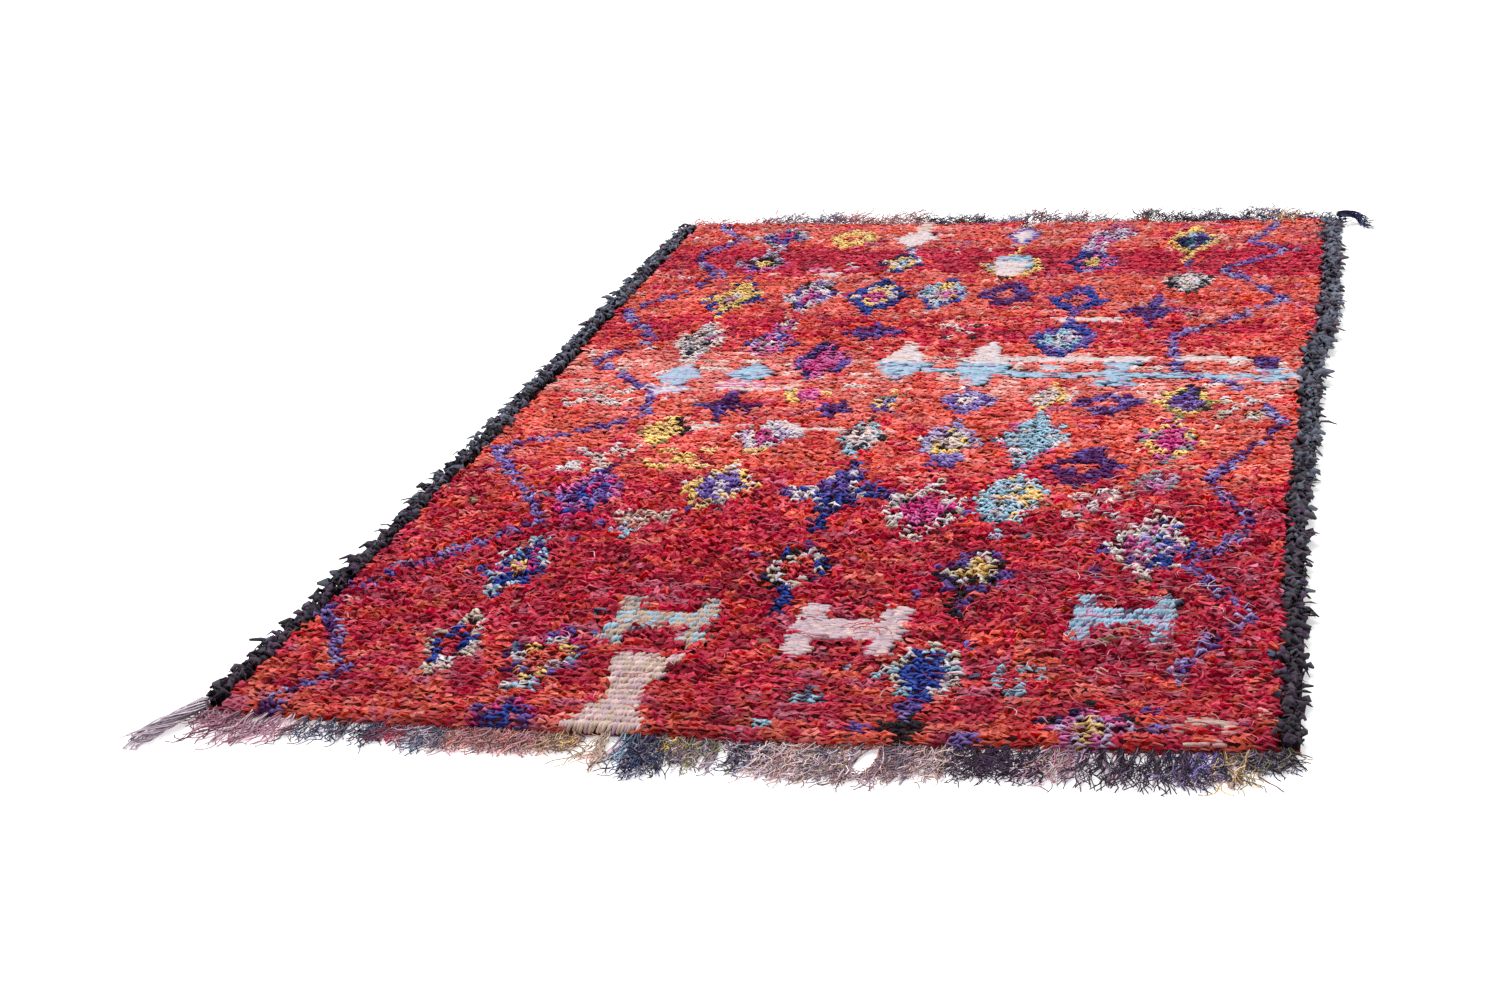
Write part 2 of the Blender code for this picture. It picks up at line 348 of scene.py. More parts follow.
def shape_set(maker, count, seed, **sizes):
    """Several shapes of one make, as their points, with the faces and heights that they share."""
    draw = np.random.default_rng(seed)
    shapes = []
    for _ in range(count):
        bm = maker(draw, **sizes)
        bm.verts.index_update()
        shapes.append([vert.co[:] for vert in bm.verts])
        faces = [[vert.index for vert in face.verts] for face in bm.faces]
        bm.free()
    return np.array(shapes), faces


def grain_of(shape_points, faces):
    """How far round and how far along its strip each point of a shape is, in metres."""
    corners = len(faces[0])
    rings = shape_points.shape[1] // corners
    middles = shape_points.reshape(len(shape_points), rings, corners, 3).mean(axis=2)
    steps = np.linalg.norm(np.diff(middles, axis=1), axis=2)
    along = np.concatenate((np.zeros((len(shape_points), 1)), np.cumsum(steps, axis=1)), axis=1)
    girth = np.linalg.norm(shape_points[:, 0] - shape_points[:, corners // 2], axis=1) * 2
    around = girth[:, None] * np.arange(corners)[None, :] / corners
    return np.stack(
        (np.tile(around[:, None, :], (1, rings, 1)), np.tile(along[:, :, None], (1, 1, corners))), axis=-1
    ).reshape(len(shape_points), rings * corners, 2)


def turn_frames(turn, lean, roll, wide, tall, deep):
    """Matrices that size a shape, roll and lean it, and then turn it about Z."""
    def about(axis, angle):
        cos, sin, one, none = np.cos(angle), np.sin(angle), np.ones_like(angle), np.zeros_like(angle)
        rows = {
            "X": ((one, none, none), (none, cos, -sin), (none, sin, cos)),
            "Y": ((cos, none, sin), (none, one, none), (-sin, none, cos)),
            "Z": ((cos, -sin, none), (sin, cos, none), (none, none, one)),
        }[axis]
        return np.array(rows).transpose(2, 0, 1)

    size = np.zeros((len(turn), 3, 3))
    size[:, 0, 0], size[:, 1, 1], size[:, 2, 2] = wide, deep, tall
    return about("Z", turn) @ about("X", lean) @ about("Y", roll) @ size


def array_mesh(name, shape_points, faces, picks, frames, places, tints, smooth, root_shade):
    """One mesh of many copies: a shape, a matrix, a place and a dye for each, with painted shade at its foot.
    """
    points = np.einsum("nij,nvj->nvi", frames, shape_points[picks]) + places[:, None, :]
    points[:, :, 2] = np.maximum(points[:, :, 2], FLOOR_CLEARANCE)
    count, corners = points.shape[0], points.shape[1]
    sizes = np.array([len(face) for face in faces])
    flat = np.concatenate(faces)
    loops = (flat[None, :] + np.arange(count)[:, None] * corners).ravel()
    mesh = bpy.data.meshes.new(name)
    mesh.vertices.add(count * corners)
    mesh.vertices.foreach_set("co", points.ravel())
    mesh.loops.add(len(loops))
    mesh.loops.foreach_set("vertex_index", loops)
    mesh.polygons.add(count * len(faces))
    totals = np.tile(sizes, count)
    mesh.polygons.foreach_set("loop_start", np.concatenate(([0], np.cumsum(totals)[:-1])))
    mesh.polygons.foreach_set("use_smooth", np.full(len(totals), smooth))
    height = shape_points[:, :, 2]
    share = (height - height.min()) / np.ptp(height)
    lit = np.clip(share[picks] * 1.3, 0, 1)[:, :, None]
    # Painted shade: the roots are drawn darker and purer, for the shade deep in the pile and for the light
    # from there, which has met more dye.
    peak = tints.max(axis=1)[:, None, None]
    pure = peak * (tints[:, None, :] / peak) ** (1.5 - 0.5 * lit)
    colour = np.ones((count, corners, 4))
    colour[:, :, :3] = pure * (root_shade + (1 - root_shade) * lit)
    mesh.update(calc_edges=True)
    # The dye attribute holds each copy's dye together with the painted shade at its foot.
    dyed = mesh.color_attributes.new("dye", "FLOAT_COLOR", "POINT")
    dyed.data.foreach_set("color", colour.ravel())
    grain = np.zeros((count, corners, 3))
    grain[:, :, :2] = grain_of(shape_points, faces)[picks]
    grain[:, :, 2] = (np.arange(count) * 0.618 % 1)[:, None]
    threads = mesh.attributes.new("grain", "FLOAT_VECTOR", "POINT")
    threads.data.foreach_set("vector", grain.ravel())
    return mesh


# The dyes, as they show on lit cloth.
DYES = {
    "orange": "#e4604f", "coral": "#e6766f", "salmon": "#e89f96", "crimson": "#cc3250",
    "maroon": "#a0233e", "rose": "#cc6680", "scarlet": "#d84244", "blush": "#e8cbc6", "white": "#e2d6dc",
    "lilac": "#c9b3d4", "lavender": "#aba0d6", "purple": "#7058a8", "violet": "#9078c0",
    "plum": "#5c2c68", "navy": "#2d2c5e", "royal": "#384ea8", "sky": "#aacde2", "slate": "#5d6a86",
    "magenta": "#d43c86", "pink": "#db6fae", "yellow": "#ffd584", "gold": "#efc98e", "olive": "#8f8a5c",
    "teal": "#3f6f80", "black": "#2a272e", "grey": "#9a9aa0", "beige": "#cdb8a8", "cream": "#e0d2c2",
    "tan": "#a98b72", "brown": "#7b5f58", "mauve": "#b08a9a", "charcoal": "#4c414d", "ink": "#322b36",
    "raven": "#3b3c50", "mist": "#cdbcc8", "dusty": "#c08aa0", "wine": "#8a4862", "smoke": "#8f8294",
    "ash": "#6c5c6a", "clay": "#c49494", "umber": "#8e6e6c", "sand": "#c8ac9c", "shell": "#d2b6be",
    "aubergine": "#503854", "carmine": "#c81e42", "pearl": "#e6dae4", "iron": "#565a68",
}
LINEAR = {name: np.array(dye(code)) for name, code in DYES.items()}


def mixed(mix, count, draw):
    """A dye for each of this many knots, picked from the names in a mix."""
    names = mix.split()
    return np.array([LINEAR[name] for name in names])[draw.integers(0, len(names), count)]


# Abrash: the red changes in bands, as one lot of rags ran out and the next was begun.
BAND_DYES = ("orange", "coral", "salmon", "scarlet", "carmine", "crimson", "maroon", "rose")
ABRASH = (
    # along, then the share of each of the band's dyes
    (1.26, 0.36, 0.34, 0.12, 0.08, 0.00, 0.03, 0.00, 0.07),
    (1.06, 0.36, 0.34, 0.10, 0.10, 0.00, 0.03, 0.00, 0.07),
    (1.03, 0.00, 0.00, 0.00, 0.10, 0.50, 0.28, 0.12, 0.00),
    (0.86, 0.00, 0.00, 0.00, 0.10, 0.50, 0.28, 0.12, 0.00),
    (0.83, 0.38, 0.32, 0.07, 0.14, 0.02, 0.04, 0.00, 0.03),
    (0.55, 0.40, 0.28, 0.06, 0.16, 0.03, 0.05, 0.00, 0.02),
    (0.50, 0.18, 0.06, 0.00, 0.26, 0.32, 0.14, 0.04, 0.00),
    (0.41, 0.18, 0.06, 0.00, 0.28, 0.30, 0.14, 0.04, 0.00),
    (0.35, 0.38, 0.22, 0.03, 0.28, 0.04, 0.05, 0.00, 0.00),
    (0.29, 0.34, 0.36, 0.20, 0.08, 0.00, 0.00, 0.00, 0.02),
    (0.11, 0.34, 0.36, 0.20, 0.08, 0.00, 0.00, 0.00, 0.02),
    (0.05, 0.42, 0.34, 0.04, 0.16, 0.00, 0.02, 0.00, 0.02),
    (-0.28, 0.44, 0.27, 0.02, 0.20, 0.02, 0.04, 0.00, 0.01),
    (-0.40, 0.12, 0.06, 0.00, 0.26, 0.16, 0.28, 0.10, 0.02),
    (-0.92, 0.07, 0.01, 0.00, 0.20, 0.17, 0.34, 0.14, 0.07),
    (-1.02, 0.13, 0.02, 0.00, 0.24, 0.14, 0.29, 0.11, 0.07),
    (-1.17, 0.15, 0.02, 0.00, 0.26, 0.13, 0.27, 0.10, 0.07),
    (-1.21, 0.33, 0.07, 0.00, 0.28, 0.07, 0.14, 0.04, 0.07),
    (-1.27, 0.33, 0.07, 0.00, 0.28, 0.07, 0.14, 0.04, 0.07),
)

# The motifs, read off the rug one by one. They are the weaver's common stock: lozenges, crosses, rings, H
# shapes and hourglasses. Each is drawn by a formula in its own half width and half length, in millimetres.
MOTIFS = (
    # shape, across, along, half width, half length, core share, tie, mixes from the core outwards
    ("lozenge", -455, 1115, 62, 92, 0.35, "yarn",
     "magenta pink purple / royal purple crimson / lilac grey white"),
    ("streak", -455, 985, 14, 40, 1, "yarn", "lilac rose white"),
    ("lozenge", -305, 1115, 64, 90, 0.30, "yarn", "orange coral / yellow gold yellow"),
    ("lozenge", -168, 1125, 44, 80, 1, "flat", "white blush white"),
    ("streak", -166, 1215, 14, 50, 1, "flat", "blush beige"),
    ("streak", -166, 1030, 9, 34, 1, "yarn", "white lilac royal"),
    ("lozenge", 55, 1135, 32, 88, 0.62, "flat", "white blush / purple royal lilac"),
    ("streak", 52, 1235, 14, 30, 1, "yarn", "white grey blush"),
    ("lozenge", 240, 1155, 60, 76, 0.5, "yarn", "mauve pink lilac / white pink rose"),
    ("streak", 205, 1075, 22, 60, 1, "yarn", "white lilac pink"),
    ("lozenge", 405, 1095, 56, 120, 0.30, "yarn", "slate teal navy / navy purple sky / yellow gold yellow"),
    ("streak", 405, 945, 10, 45, 1, "yarn", "yellow purple"),
    ("lozenge", -457, 915, 60, 86, 0.36, "yarn", "yellow gold / black plum royal / lilac grey pink"),
    ("streak", -322, 868, 26, 10, 1, "flat", "blush pink"),
    ("streak", -300, 838, 20, 12, 1, "flat", "blush white"),
    ("streak", -262, 878, 14, 12, 1, "flat", "blush pink"),
    ("lozenge", -168, 920, 46, 92, 0.40, "yarn", "sky white / yellow gold yellow / navy royal white"),
    ("lozenge", 60, 905, 68, 140, 0.70, "yarn", "beige brown / yellow gold orange"),
    ("upper", 60, 940, 42, 42, 1, "flat", "sky sky sky slate lilac"),
    ("lower", 60, 880, 40, 60, 1, "flat", "white blush"),
    ("lozenge", 215, 935, 62, 98, 0.40, "yarn",
     "yellow gold yellow / magenta navy pink / lilac purple royal"),
    ("lozenge", 415, 785, 54, 94, 0.52, "yarn", "white cream blush / black white grey"),
    ("lozenge", -455, 660, 66, 150, 0.28, "yarn",
     "white lilac rose / yellow gold yellow / yellow navy coral royal"),
    ("lozenge", -305, 680, 62, 134, 0.34, "yarn",
     "pink magenta lilac / purple white lilac / white black lilac"),
    ("lozenge", -170, 672, 66, 138, 0.34, "yarn",
     "pink magenta white / yellow gold white / royal navy royal"),
    ("lozenge", -45, 690, 58, 124, 0.42, "yarn", "white blush pink / yellow sky white / sky lilac royal"),
    ("ring", 80, 690, 56, 84, 1, "yarn", "plum purple plum"),
    ("lozenge", 218, 655, 60, 112, 0.50, "yarn", "coral pink rose / royal purple royal"),
    ("cross", 365, 580, 62, 104, 1, "yarn", "plum purple plum"),
    ("lozenge", 430, 575, 34, 44, 1, "yarn", "pink rose blush"),
    ("lozenge", -448, 368, 54, 120, 0.26, "yarn", "pink blush / black grey white / white blush white"),
    ("lozenge", -302, 462, 32, 50, 1, "yarn", "white blush pink"),
    ("lozenge", -312, 360, 56, 74, 0.38, "yarn", "sky white pink / pink lilac mauve / royal pink rose"),
    ("lozenge", -194, 262, 60, 118, 0.74, "yarn", "pink magenta pink / navy pink purple"),
    ("lozenge", -132, 428, 66, 56, 1, "yarn", "plum purple plum"),
    ("blocks", 30, 445, 44, 52, 1, "yarn", "white blush black"),
    ("streak", 255, 522, 60, 12, 1, "flat", "white blush"),
    ("lozenge", 222, 402, 66, 126, 0.60, "yarn", "sky sky white lilac / purple violet royal"),
    ("peak", -45, 305, 50, 62, 1, "flat", "white blush white"),
    ("keel", -38, 208, 52, 48, 1, "flat", "sky sky sky slate lilac"),
    ("peak", 98, 310, 50, 64, 1, "flat", "white blush white"),
    ("keel", 100, 198, 48, 62, 1, "flat", "sky sky sky slate lilac"),
    ("streak", 260, 292, 130, 14, 1, "flat", "white blush white"),
    ("streak", 520, 298, 85, 12, 1, "flat", "white blush"),
    ("streak", 330, 205, 330, 13, 1, "flat", "sky sky sky slate lilac sky"),
    ("waist", 336, 210, 40, 66, 1, "flat", "sky sky sky slate lilac"),
    ("waist", 598, 212, 32, 40, 1, "flat", "sky sky sky slate lilac"),
    ("lozenge", 220, 248, 22, 22, 1, "flat", "sky white"),
    ("lozenge", 585, 286, 34, 46, 1, "yarn", "purple plum"),
    ("lozenge", -432, 165, 44, 68, 1, "flat", "sky sky lilac"),
    ("keel", -435, 72, 40, 36, 1, "flat", "white lilac"),
    ("lozenge", -308, 188, 42, 66, 1, "flat", "sky sky sky slate lilac"),
    ("streak", -308, 122, 42, 14, 1, "flat", "blush pink"),
    ("streak", -275, 96, 62, 8, 1, "flat", "white blush"),
    ("blocks", -545, 35, 60, 52, 1, "yarn", "white blush"),
    ("cross", -302, -8, 64, 74, 1, "yarn", "plum purple plum"),
    ("lozenge", -182, 58, 44, 66, 0.55, "yarn", "pink magenta / yellow pink rose"),
    ("cross", -115, -22, 50, 56, 1, "yarn", "purple plum"),
    ("lozenge", -30, 22, 26, 78, 0.40, "yarn", "grey lavender / yellow olive purple"),
    ("lozenge", 100, 40, 50, 94, 0.42, "yarn", "white blush / purple violet lavender"),
    ("lozenge", 236, 75, 38, 84, 0.62, "yarn", "white blush / yellow gold white"),
    ("ring", 338, 36, 58, 72, 1, "yarn", "purple violet plum"),
    ("lozenge", 465, 55, 56, 118, 0.62, "yarn", "purple violet plum / yellow black olive"),
    ("blocks", 552, 22, 34, 74, 1, "yarn", "cream white beige"),
    ("lozenge", -378, -142, 46, 88, 0.80, "yarn", "yellow yellow gold / black yellow olive"),
    ("streak", -245, -112, 90, 6, 1, "flat", "blush white"),
    ("streak", -125, -128, 50, 6, 1, "flat", "blush white"),
    ("lozenge", -196, -172, 60, 98, 0.58, "yarn", "white magenta pink / white lilac white"),
    ("streak", -196, -248, 22, 12, 1, "yarn", "yellow gold"),
    ("lozenge", -38, -168, 44, 104, 0.62, "yarn", "blush white blush / grey black sky"),
    ("lozenge", 106, -178, 56, 108, 0.62, "yarn", "yellow cream black blush yellow / lavender lilac white"),
    ("streak", 108, -262, 26, 30, 1, "yarn", "purple lavender violet"),
    ("lozenge", 238, -154, 64, 142, 0.84, "yarn", "sky sky sky sky white / pink rose sky slate"),
    ("lozenge", 455, -155, 56, 120, 0.55, "yarn", "magenta pink magenta / yellow grey pink"),
    ("ring", 334, -284, 64, 92, 1, "yarn", "plum plum purple"),
    ("blocks", -450, -285, 54, 64, 1, "yarn", "white blush white"),
    ("blocks", -308, -282, 54, 62, 1, "yarn", "yellow gold yellow"),
    ("lozenge", 450, -352, 42, 68, 0.5, "yarn", "pink lilac / grey lilac rose"),
    ("lozenge", -416, -448, 60, 140, 1, "yarn", "royal magenta purple plum violet pink"),
    ("lozenge", -214, -412, 62, 120, 0.32, "yarn",
     "white lilac / purple violet purple / yellow gold white"),
    ("cross", -25, -425, 90, 136, 1, "yarn", "royal purple navy purple white royal"),
    ("lozenge", -72, -438, 24, 40, 1, "yarn", "royal white purple"),
    ("streak", -22, -572, 9, 34, 1, "yarn", "royal navy"),
    ("lozenge", 120, -492, 66, 140, 0.56, "yarn",
     "magenta pink magenta / black white crimson / white cream white"),
    ("barrel", 240, -436, 50, 104, 1, "yarn", "sky white sky sky gold mist sky"),
    ("lozenge", 272, -428, 26, 30, 1, "yarn", "yellow gold"),
    ("streak", 245, -585, 9, 30, 1, "yarn", "sky lilac"),
    ("blocks", 372, -458, 50, 58, 1, "yarn", "white blush"),
    ("lozenge", 465, -612, 68, 142, 0.36, "yarn",
     "sky pink lavender / white pink royal / white cream royal white"),
    ("barrel", -296, -552, 48, 30, 1, "yarn", "salmon sand blush"),
    ("lozenge", -314, -608, 26, 32, 1, "yarn", "sky sky lilac"),
    ("lozenge", -425, -762, 52, 130, 0.32, "yarn",
     "yellow gold pink / royal royal magenta / sky white royal"),
    ("lozenge", -22, -738, 54, 104, 0.50, "yarn",
     "crimson orange scarlet / white cream white / navy black royal"),
    ("streak", -18, -861, 10, 36, 1, "yarn", "royal navy"),
    ("lozenge", 228, -732, 62, 100, 0.44, "yarn",
     "gold yellow gold / white black cream / black plum purple"),
    ("streak", 228, -848, 14, 44, 1, "yarn", "plum black purple"),
    ("letter", 450, -870, 68, 78, 1, "low", "sky sky sky slate lilac sky"),
    ("letter", 96, -940, 72, 80, 1, "flat", "shell blush shell mist"),
    ("letter", -160, -934, 70, 80, 1, "low", "beige grey beige sky beige"),
    ("waist", -150, -1163, 62, 117, 1, "low", "shell beige blush"),
    ("lozenge", -426, -1036, 44, 124, 0.40, "yarn",
     "crimson scarlet / royal white royal / beige cream blush"),
    ("lozenge", -290, -1063, 60, 108, 0.50, "yarn",
     "orange scarlet coral / yellow white sky / purple plum magenta"),
    ("streak", -290, -1155, 26, 16, 1, "yarn", "sky white"),
    ("lozenge", -288, -1238, 62, 44, 1, "yarn", "plum purple plum magenta rose"),
    ("lozenge", -286, -1244, 30, 28, 1, "yarn", "royal royal"),
    ("lozenge", 216, -1063, 60, 116, 0.62, "yarn", "royal royal royal / white cream sky"),
    ("streak", 222, -1135, 14, 14, 1, "yarn", "royal royal"),
    ("ring", 336, -1071, 40, 64, 1, "yarn", "sky orange crimson sky scarlet"),
    ("streak", 88, -1143, 18, 14, 1, "yarn", "sky slate"),
    ("streak", 128, -1065, 10, 10, 1, "yarn", "sky sky sky slate lilac"),
    ("streak", 40, -1231, 10, 8, 1, "yarn", "slate sky"),
    ("lozenge", 216, -1183, 24, 26, 1, "yarn", "purple violet"),
    ("lozenge", 218, -1228, 36, 34, 1, "yarn", "black black ink"),
    ("streak", 158, -1222, 10, 10, 1, "yarn", "purple"),
    ("streak", 300, -1238, 16, 10, 1, "yarn", "violet purple"),
    ("cross", 440, -1189, 64, 60, 1, "yarn", "black navy purple"),
    ("lozenge", 440, -1209, 48, 56, 0.45, "yarn", "gold yellow / pink lilac pink"),
    ("streak", 446, -1256, 20, 12, 1, "yarn", "royal royal"),
    ("streak", 404, -1150, 12, 10, 1, "yarn", "navy purple"),
    ("streak", 506, -1148, 12, 10, 1, "yarn", "purple"),
    ("streak", 586, -1176, 24, 8.5, 1, "flat", "beige clay"),
    ("streak", 547, -1202, 11, 8.5, 1, "flat", "beige clay"),
    ("streak", 604, -1199, 11, 8, 1, "flat", "beige clay"),
    ("streak", 577, -1238, 20, 7.5, 1, "flat", "beige clay"),
    ("streak", 520, -1209, 12, 14, 1, "yarn", "purple violet"),
)

# The zigzag that runs up each side, between its turning points.
ZIGZAGS = (
    # the points where the left one and then the right one turn, as across and along
    ((-0.63, 1.24), (-0.545, 1.11), (-0.61, 0.96), (-0.52, 0.82), (-0.565, 0.70), (-0.645, 0.56),
     (-0.54, 0.37), (-0.615, 0.25), (-0.455, 0.07), (-0.43, -0.07), (-0.635, -0.25), (-0.445, -0.58),
     (-0.60, -0.79), (-0.66, -0.92), (-0.542, -1.13), (-0.612, -1.222), (-0.578, -1.272)),
    ((0.575, 1.24), (0.52, 1.08), (0.60, 1.02), (0.48, 0.88), (0.60, 0.67), (0.50, 0.52), (0.41, 0.42),
     (0.44, 0.22), (0.53, 0.17), (0.63, -0.06), (0.52, -0.34), (0.61, -0.52), (0.52, -0.68), (0.615, -0.85),
     (0.52, -1.07)),
)
ZIGZAG_HALF_WIDTH = 0.0110
TIES = {"rag": 0, "yarn": 1, "low": 2, "flat": 3}
EDGE_WANDER = 0.0035  # how unevenly a motif's edge was tied
BAND_BEND, BAND_BLUR = 0.014, 0.008  # how far a band's edge wanders, smoothly and by the knot
ONE_STRIP = 0.70  # share of the knots that keep to the dye of their strip
ZIGZAG_FILL = 0.90  # share of a zigzag's knots that have its dye


def motif_depth(shape, u, v):
    """0 at a motif's middle and 1 at its edge, where u and v run from -1 to 1 over its width and length."""
    across, along = np.abs(u), np.abs(v)
    box = np.maximum(across, along)
    outside = np.full_like(u, 9.0)
    if shape == "lozenge":
        return across + along
    rules = {
        "streak": box < 1,
        "cross": (box < 1) & (across * along < 0.13),
        "barrel": (box < 1) & (across + along < 1.42),
        "ring": (across + along < 1.08) & (across + along > 0.42),
        "blocks": (box < 1) & ((np.round(1.6 * u) + np.round(1.6 * v)) % 2 == 0),
        "upper": (box < 1) & (across < 0.84 - 0.16 * v),
        "lower": (box < 1) & (across < 0.70 + 0.30 * v),
        "peak": (box < 1) & (across < 0.5 * (1 - v)),
        "keel": (box < 1) & (across < 0.62 + 0.38 * v),
        "waist": (box < 1) & (across < (0.36 + 0.58 * along**1.4) * (1 - 0.12 * v)),
        "letter": (box < 1) & ((across > 0.56) | (along < 0.37)),
    }
    return np.where(rules[shape], box, outside)


def zigzag_distance(x, y, turns):
    """Distance of each knot from a zigzag."""
    nearest = np.full_like(x, 9.0)
    for (x0, y0), (x1, y1) in zip(turns, turns[1:]):
        run = np.array((x1 - x0, y1 - y0))
        share = np.clip(((x - x0) * run[0] + (y - y0) * run[1]) / (run @ run), 0, 1)
        nearest = np.minimum(nearest, np.hypot(x - x0 - share * run[0], y - y0 - share * run[1]))
    return nearest


def chart(x, y, row, draw):
    """The dye and the kind of tie at each knot."""
    count = len(x)
    run = np.floor(x / RUN_LENGTH + 0.37 * np.sin(7.1 * row) + 3.3 * row).astype(int)
    strips, rows = 997, 61
    strip_draw = np.random.default_rng(77).uniform(size=(strips, rows))
    coherent = strip_draw[run % strips, row.astype(int) % rows]
    tone = strip_draw[(3 * run + 5) % strips, row.astype(int) % rows]
    chance = np.where(draw.uniform(size=count) < ONE_STRIP, coherent, draw.uniform(size=count))
    drift = y + BAND_BEND * swell(x, y, 0.30, 0.2, 21) + BAND_BLUR * draw.normal(size=count)
    bands = np.array(sorted(ABRASH))
    shares = np.stack([np.interp(drift, bands[:, 0], bands[:, 1 + i]) for i in range(len(BAND_DYES))], axis=1)
    limits = np.cumsum(shares / shares.sum(axis=1, keepdims=True), axis=1)
    pick = (chance[:, None] > limits).sum(axis=1).clip(0, len(BAND_DYES) - 1)
    dyes = np.array([LINEAR[name] for name in BAND_DYES])[pick] * (0.84 + 0.28 * tone)[:, None]
    ties = np.zeros(count, int)

    def paint(mask, mix, tie):
        dyes[mask] = mixed(mix, int(mask.sum()), draw)
        ties[mask] = TIES[tie]

    # Odd rags of other colours, then the pale rags round the bands, the crimson right side and the orange
    # near left corner.
    stray = draw.uniform(size=count)
    paint((stray < 0.014) & (y < -0.35), "tan salmon slate purple rose violet", "rag")
    paint((stray < 0.010) & (y >= -0.35), "salmon blush rose", "rag")
    paint((np.abs(y - 0.20) < 0.115) & (coherent < 0.20), "salmon blush coral", "rag")
    corner = np.clip((x - 0.34) / 0.14, 0, 1) * np.clip(1.6 - np.abs(y + 0.76) / 0.24, 0, 1)
    paint(draw.uniform(size=count) < 0.6 * corner, "crimson maroon crimson rose maroon carmine", "rag")
    corner = np.clip((-0.22 - x) / 0.16, 0, 1) * np.clip((-0.92 - y) / 0.10, 0, 1)
    paint((coherent > 0.78) & (draw.uniform(size=count) < corner), "orange scarlet coral rose orange", "rag")
    for turns in ZIGZAGS:
        close = zigzag_distance(x, y, turns) < ZIGZAG_HALF_WIDTH
        paint(close & (draw.uniform(size=count) < ZIGZAG_FILL), "violet purple lavender violet plum", "yarn")
    wander_x = x + EDGE_WANDER * draw.normal(size=count)
    wander_y = y + EDGE_WANDER * draw.normal(size=count)
    for shape, *sizes, core, tie, mixes in MOTIFS:
        across, along, half_width, half_length = (size / 1000 for size in sizes)
        depth = motif_depth(shape, (wander_x - across) / half_width, (wander_y - along) / half_length)
        mixes = mixes.split(" / ")
        around = max(1, len(mixes) - 1)
        limits = [0] + [core + (1 - core) * layer / around for layer in range(len(mixes))]
        for mix, start, stop in zip(mixes, limits, limits[1:]):
            paint((depth >= start) & (depth < stop), mix, tie)
    return dyes, ties


# How high the pile stands, as a share of the solid's height. It is longest where the red is darkest, and in
# the middle of the right side.
SHAG = (
    # along, share
    (1.27, 0.90), (0.36, 0.88), (0.30, 0.66), (0.10, 0.66), (0.04, 0.88), (-0.34, 0.94), (-0.46, 1.08),
    (-0.94, 1.08), (-1.06, 0.98), (-1.27, 0.92),
)

# How bright the wool is drawn along the rug: darkest at the near end and brightest in the middle.
BRIGHTNESS_ALONG = (
    # along, share
    (-1.27, 0.80), (-1.16, 0.86), (-1.00, 0.92), (-0.70, 0.97), (-0.40, 1.12), (0.10, 1.15), (0.50, 1.10),
    (0.90, 1.04), (1.27, 1.08),
)


def read_off(table, y):
    """A table's value at this distance along the rug."""
    return np.interp(y, *np.array(sorted(table)).T)


def grid_of_knots(row_pitch, knot_pitch, draw):
    """Places of all knots at this spacing, row by row from the near end."""
    rows = round((field_high.y - field_low.y) / row_pitch)
    columns = round((field_high.x - field_low.x) / knot_pitch)
    row, column = (grid.ravel().astype(float) for grid in np.mgrid[0:rows, 0:columns])
    across = (column + 0.5 + 0.25 * (row % 2)) / (columns + 0.25)
    along = (row + 0.5) / rows
    guess = field_low.y + along * (field_high.y - field_low.y)
    beyond = PILE_BEYOND_NEAR + along * (PILE_BEYOND_FAR - PILE_BEYOND_NEAR)
    low, high = side_at(-1, guess) - beyond, side_at(1, guess) + beyond
    x = low + across * (high - low)
    x += draw.normal(0, SIDE_STEP, len(x)) * knot_pitch / KNOT_PITCH
    near, far = end_at(-1, x) - ROWS_BEYOND, end_at(1, x) + ROWS_BEYOND
    y = near + along * (far - near) + ROW_BEND * swell(x, row * 0.05, 0.16, 0.2, 5)
    y += draw.normal(0, ROW_STEP, len(x)) * row_pitch / ROW_PITCH
    return x, y, row


def crest(x, y):
    """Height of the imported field's surface."""
    hits = [field_tree.ray_cast(Vector((a, b, 0.1)), Vector((0, 0, -1)))[0] for a, b in zip(x, y)]
    return np.array([field_high.z * 0.7 if hit is None else hit.z for hit in hits])


def add_pieces(
    stem, points, faces, picks, frames, places, tints, material, slot, nodes,
    smooth=True, root_shade=ROOT_SHADE,
):
    """Splits an array into pieces of under 200,000 triangles, from the near end to the far end."""
    made = []
    parts = max(1, math.ceil(len(picks) / PIECE_LOCKS))
    for part, these in enumerate(np.array_split(np.arange(len(picks)), parts), start=1):
        name = f"{stem}_{part}" if parts > 1 else stem
        mesh = array_mesh(
            name, points, faces, picks[these], frames[these], places[these], tints[these], smooth, root_shade,
        )
        made.append(place(name, mesh, material, nodes))
    return made


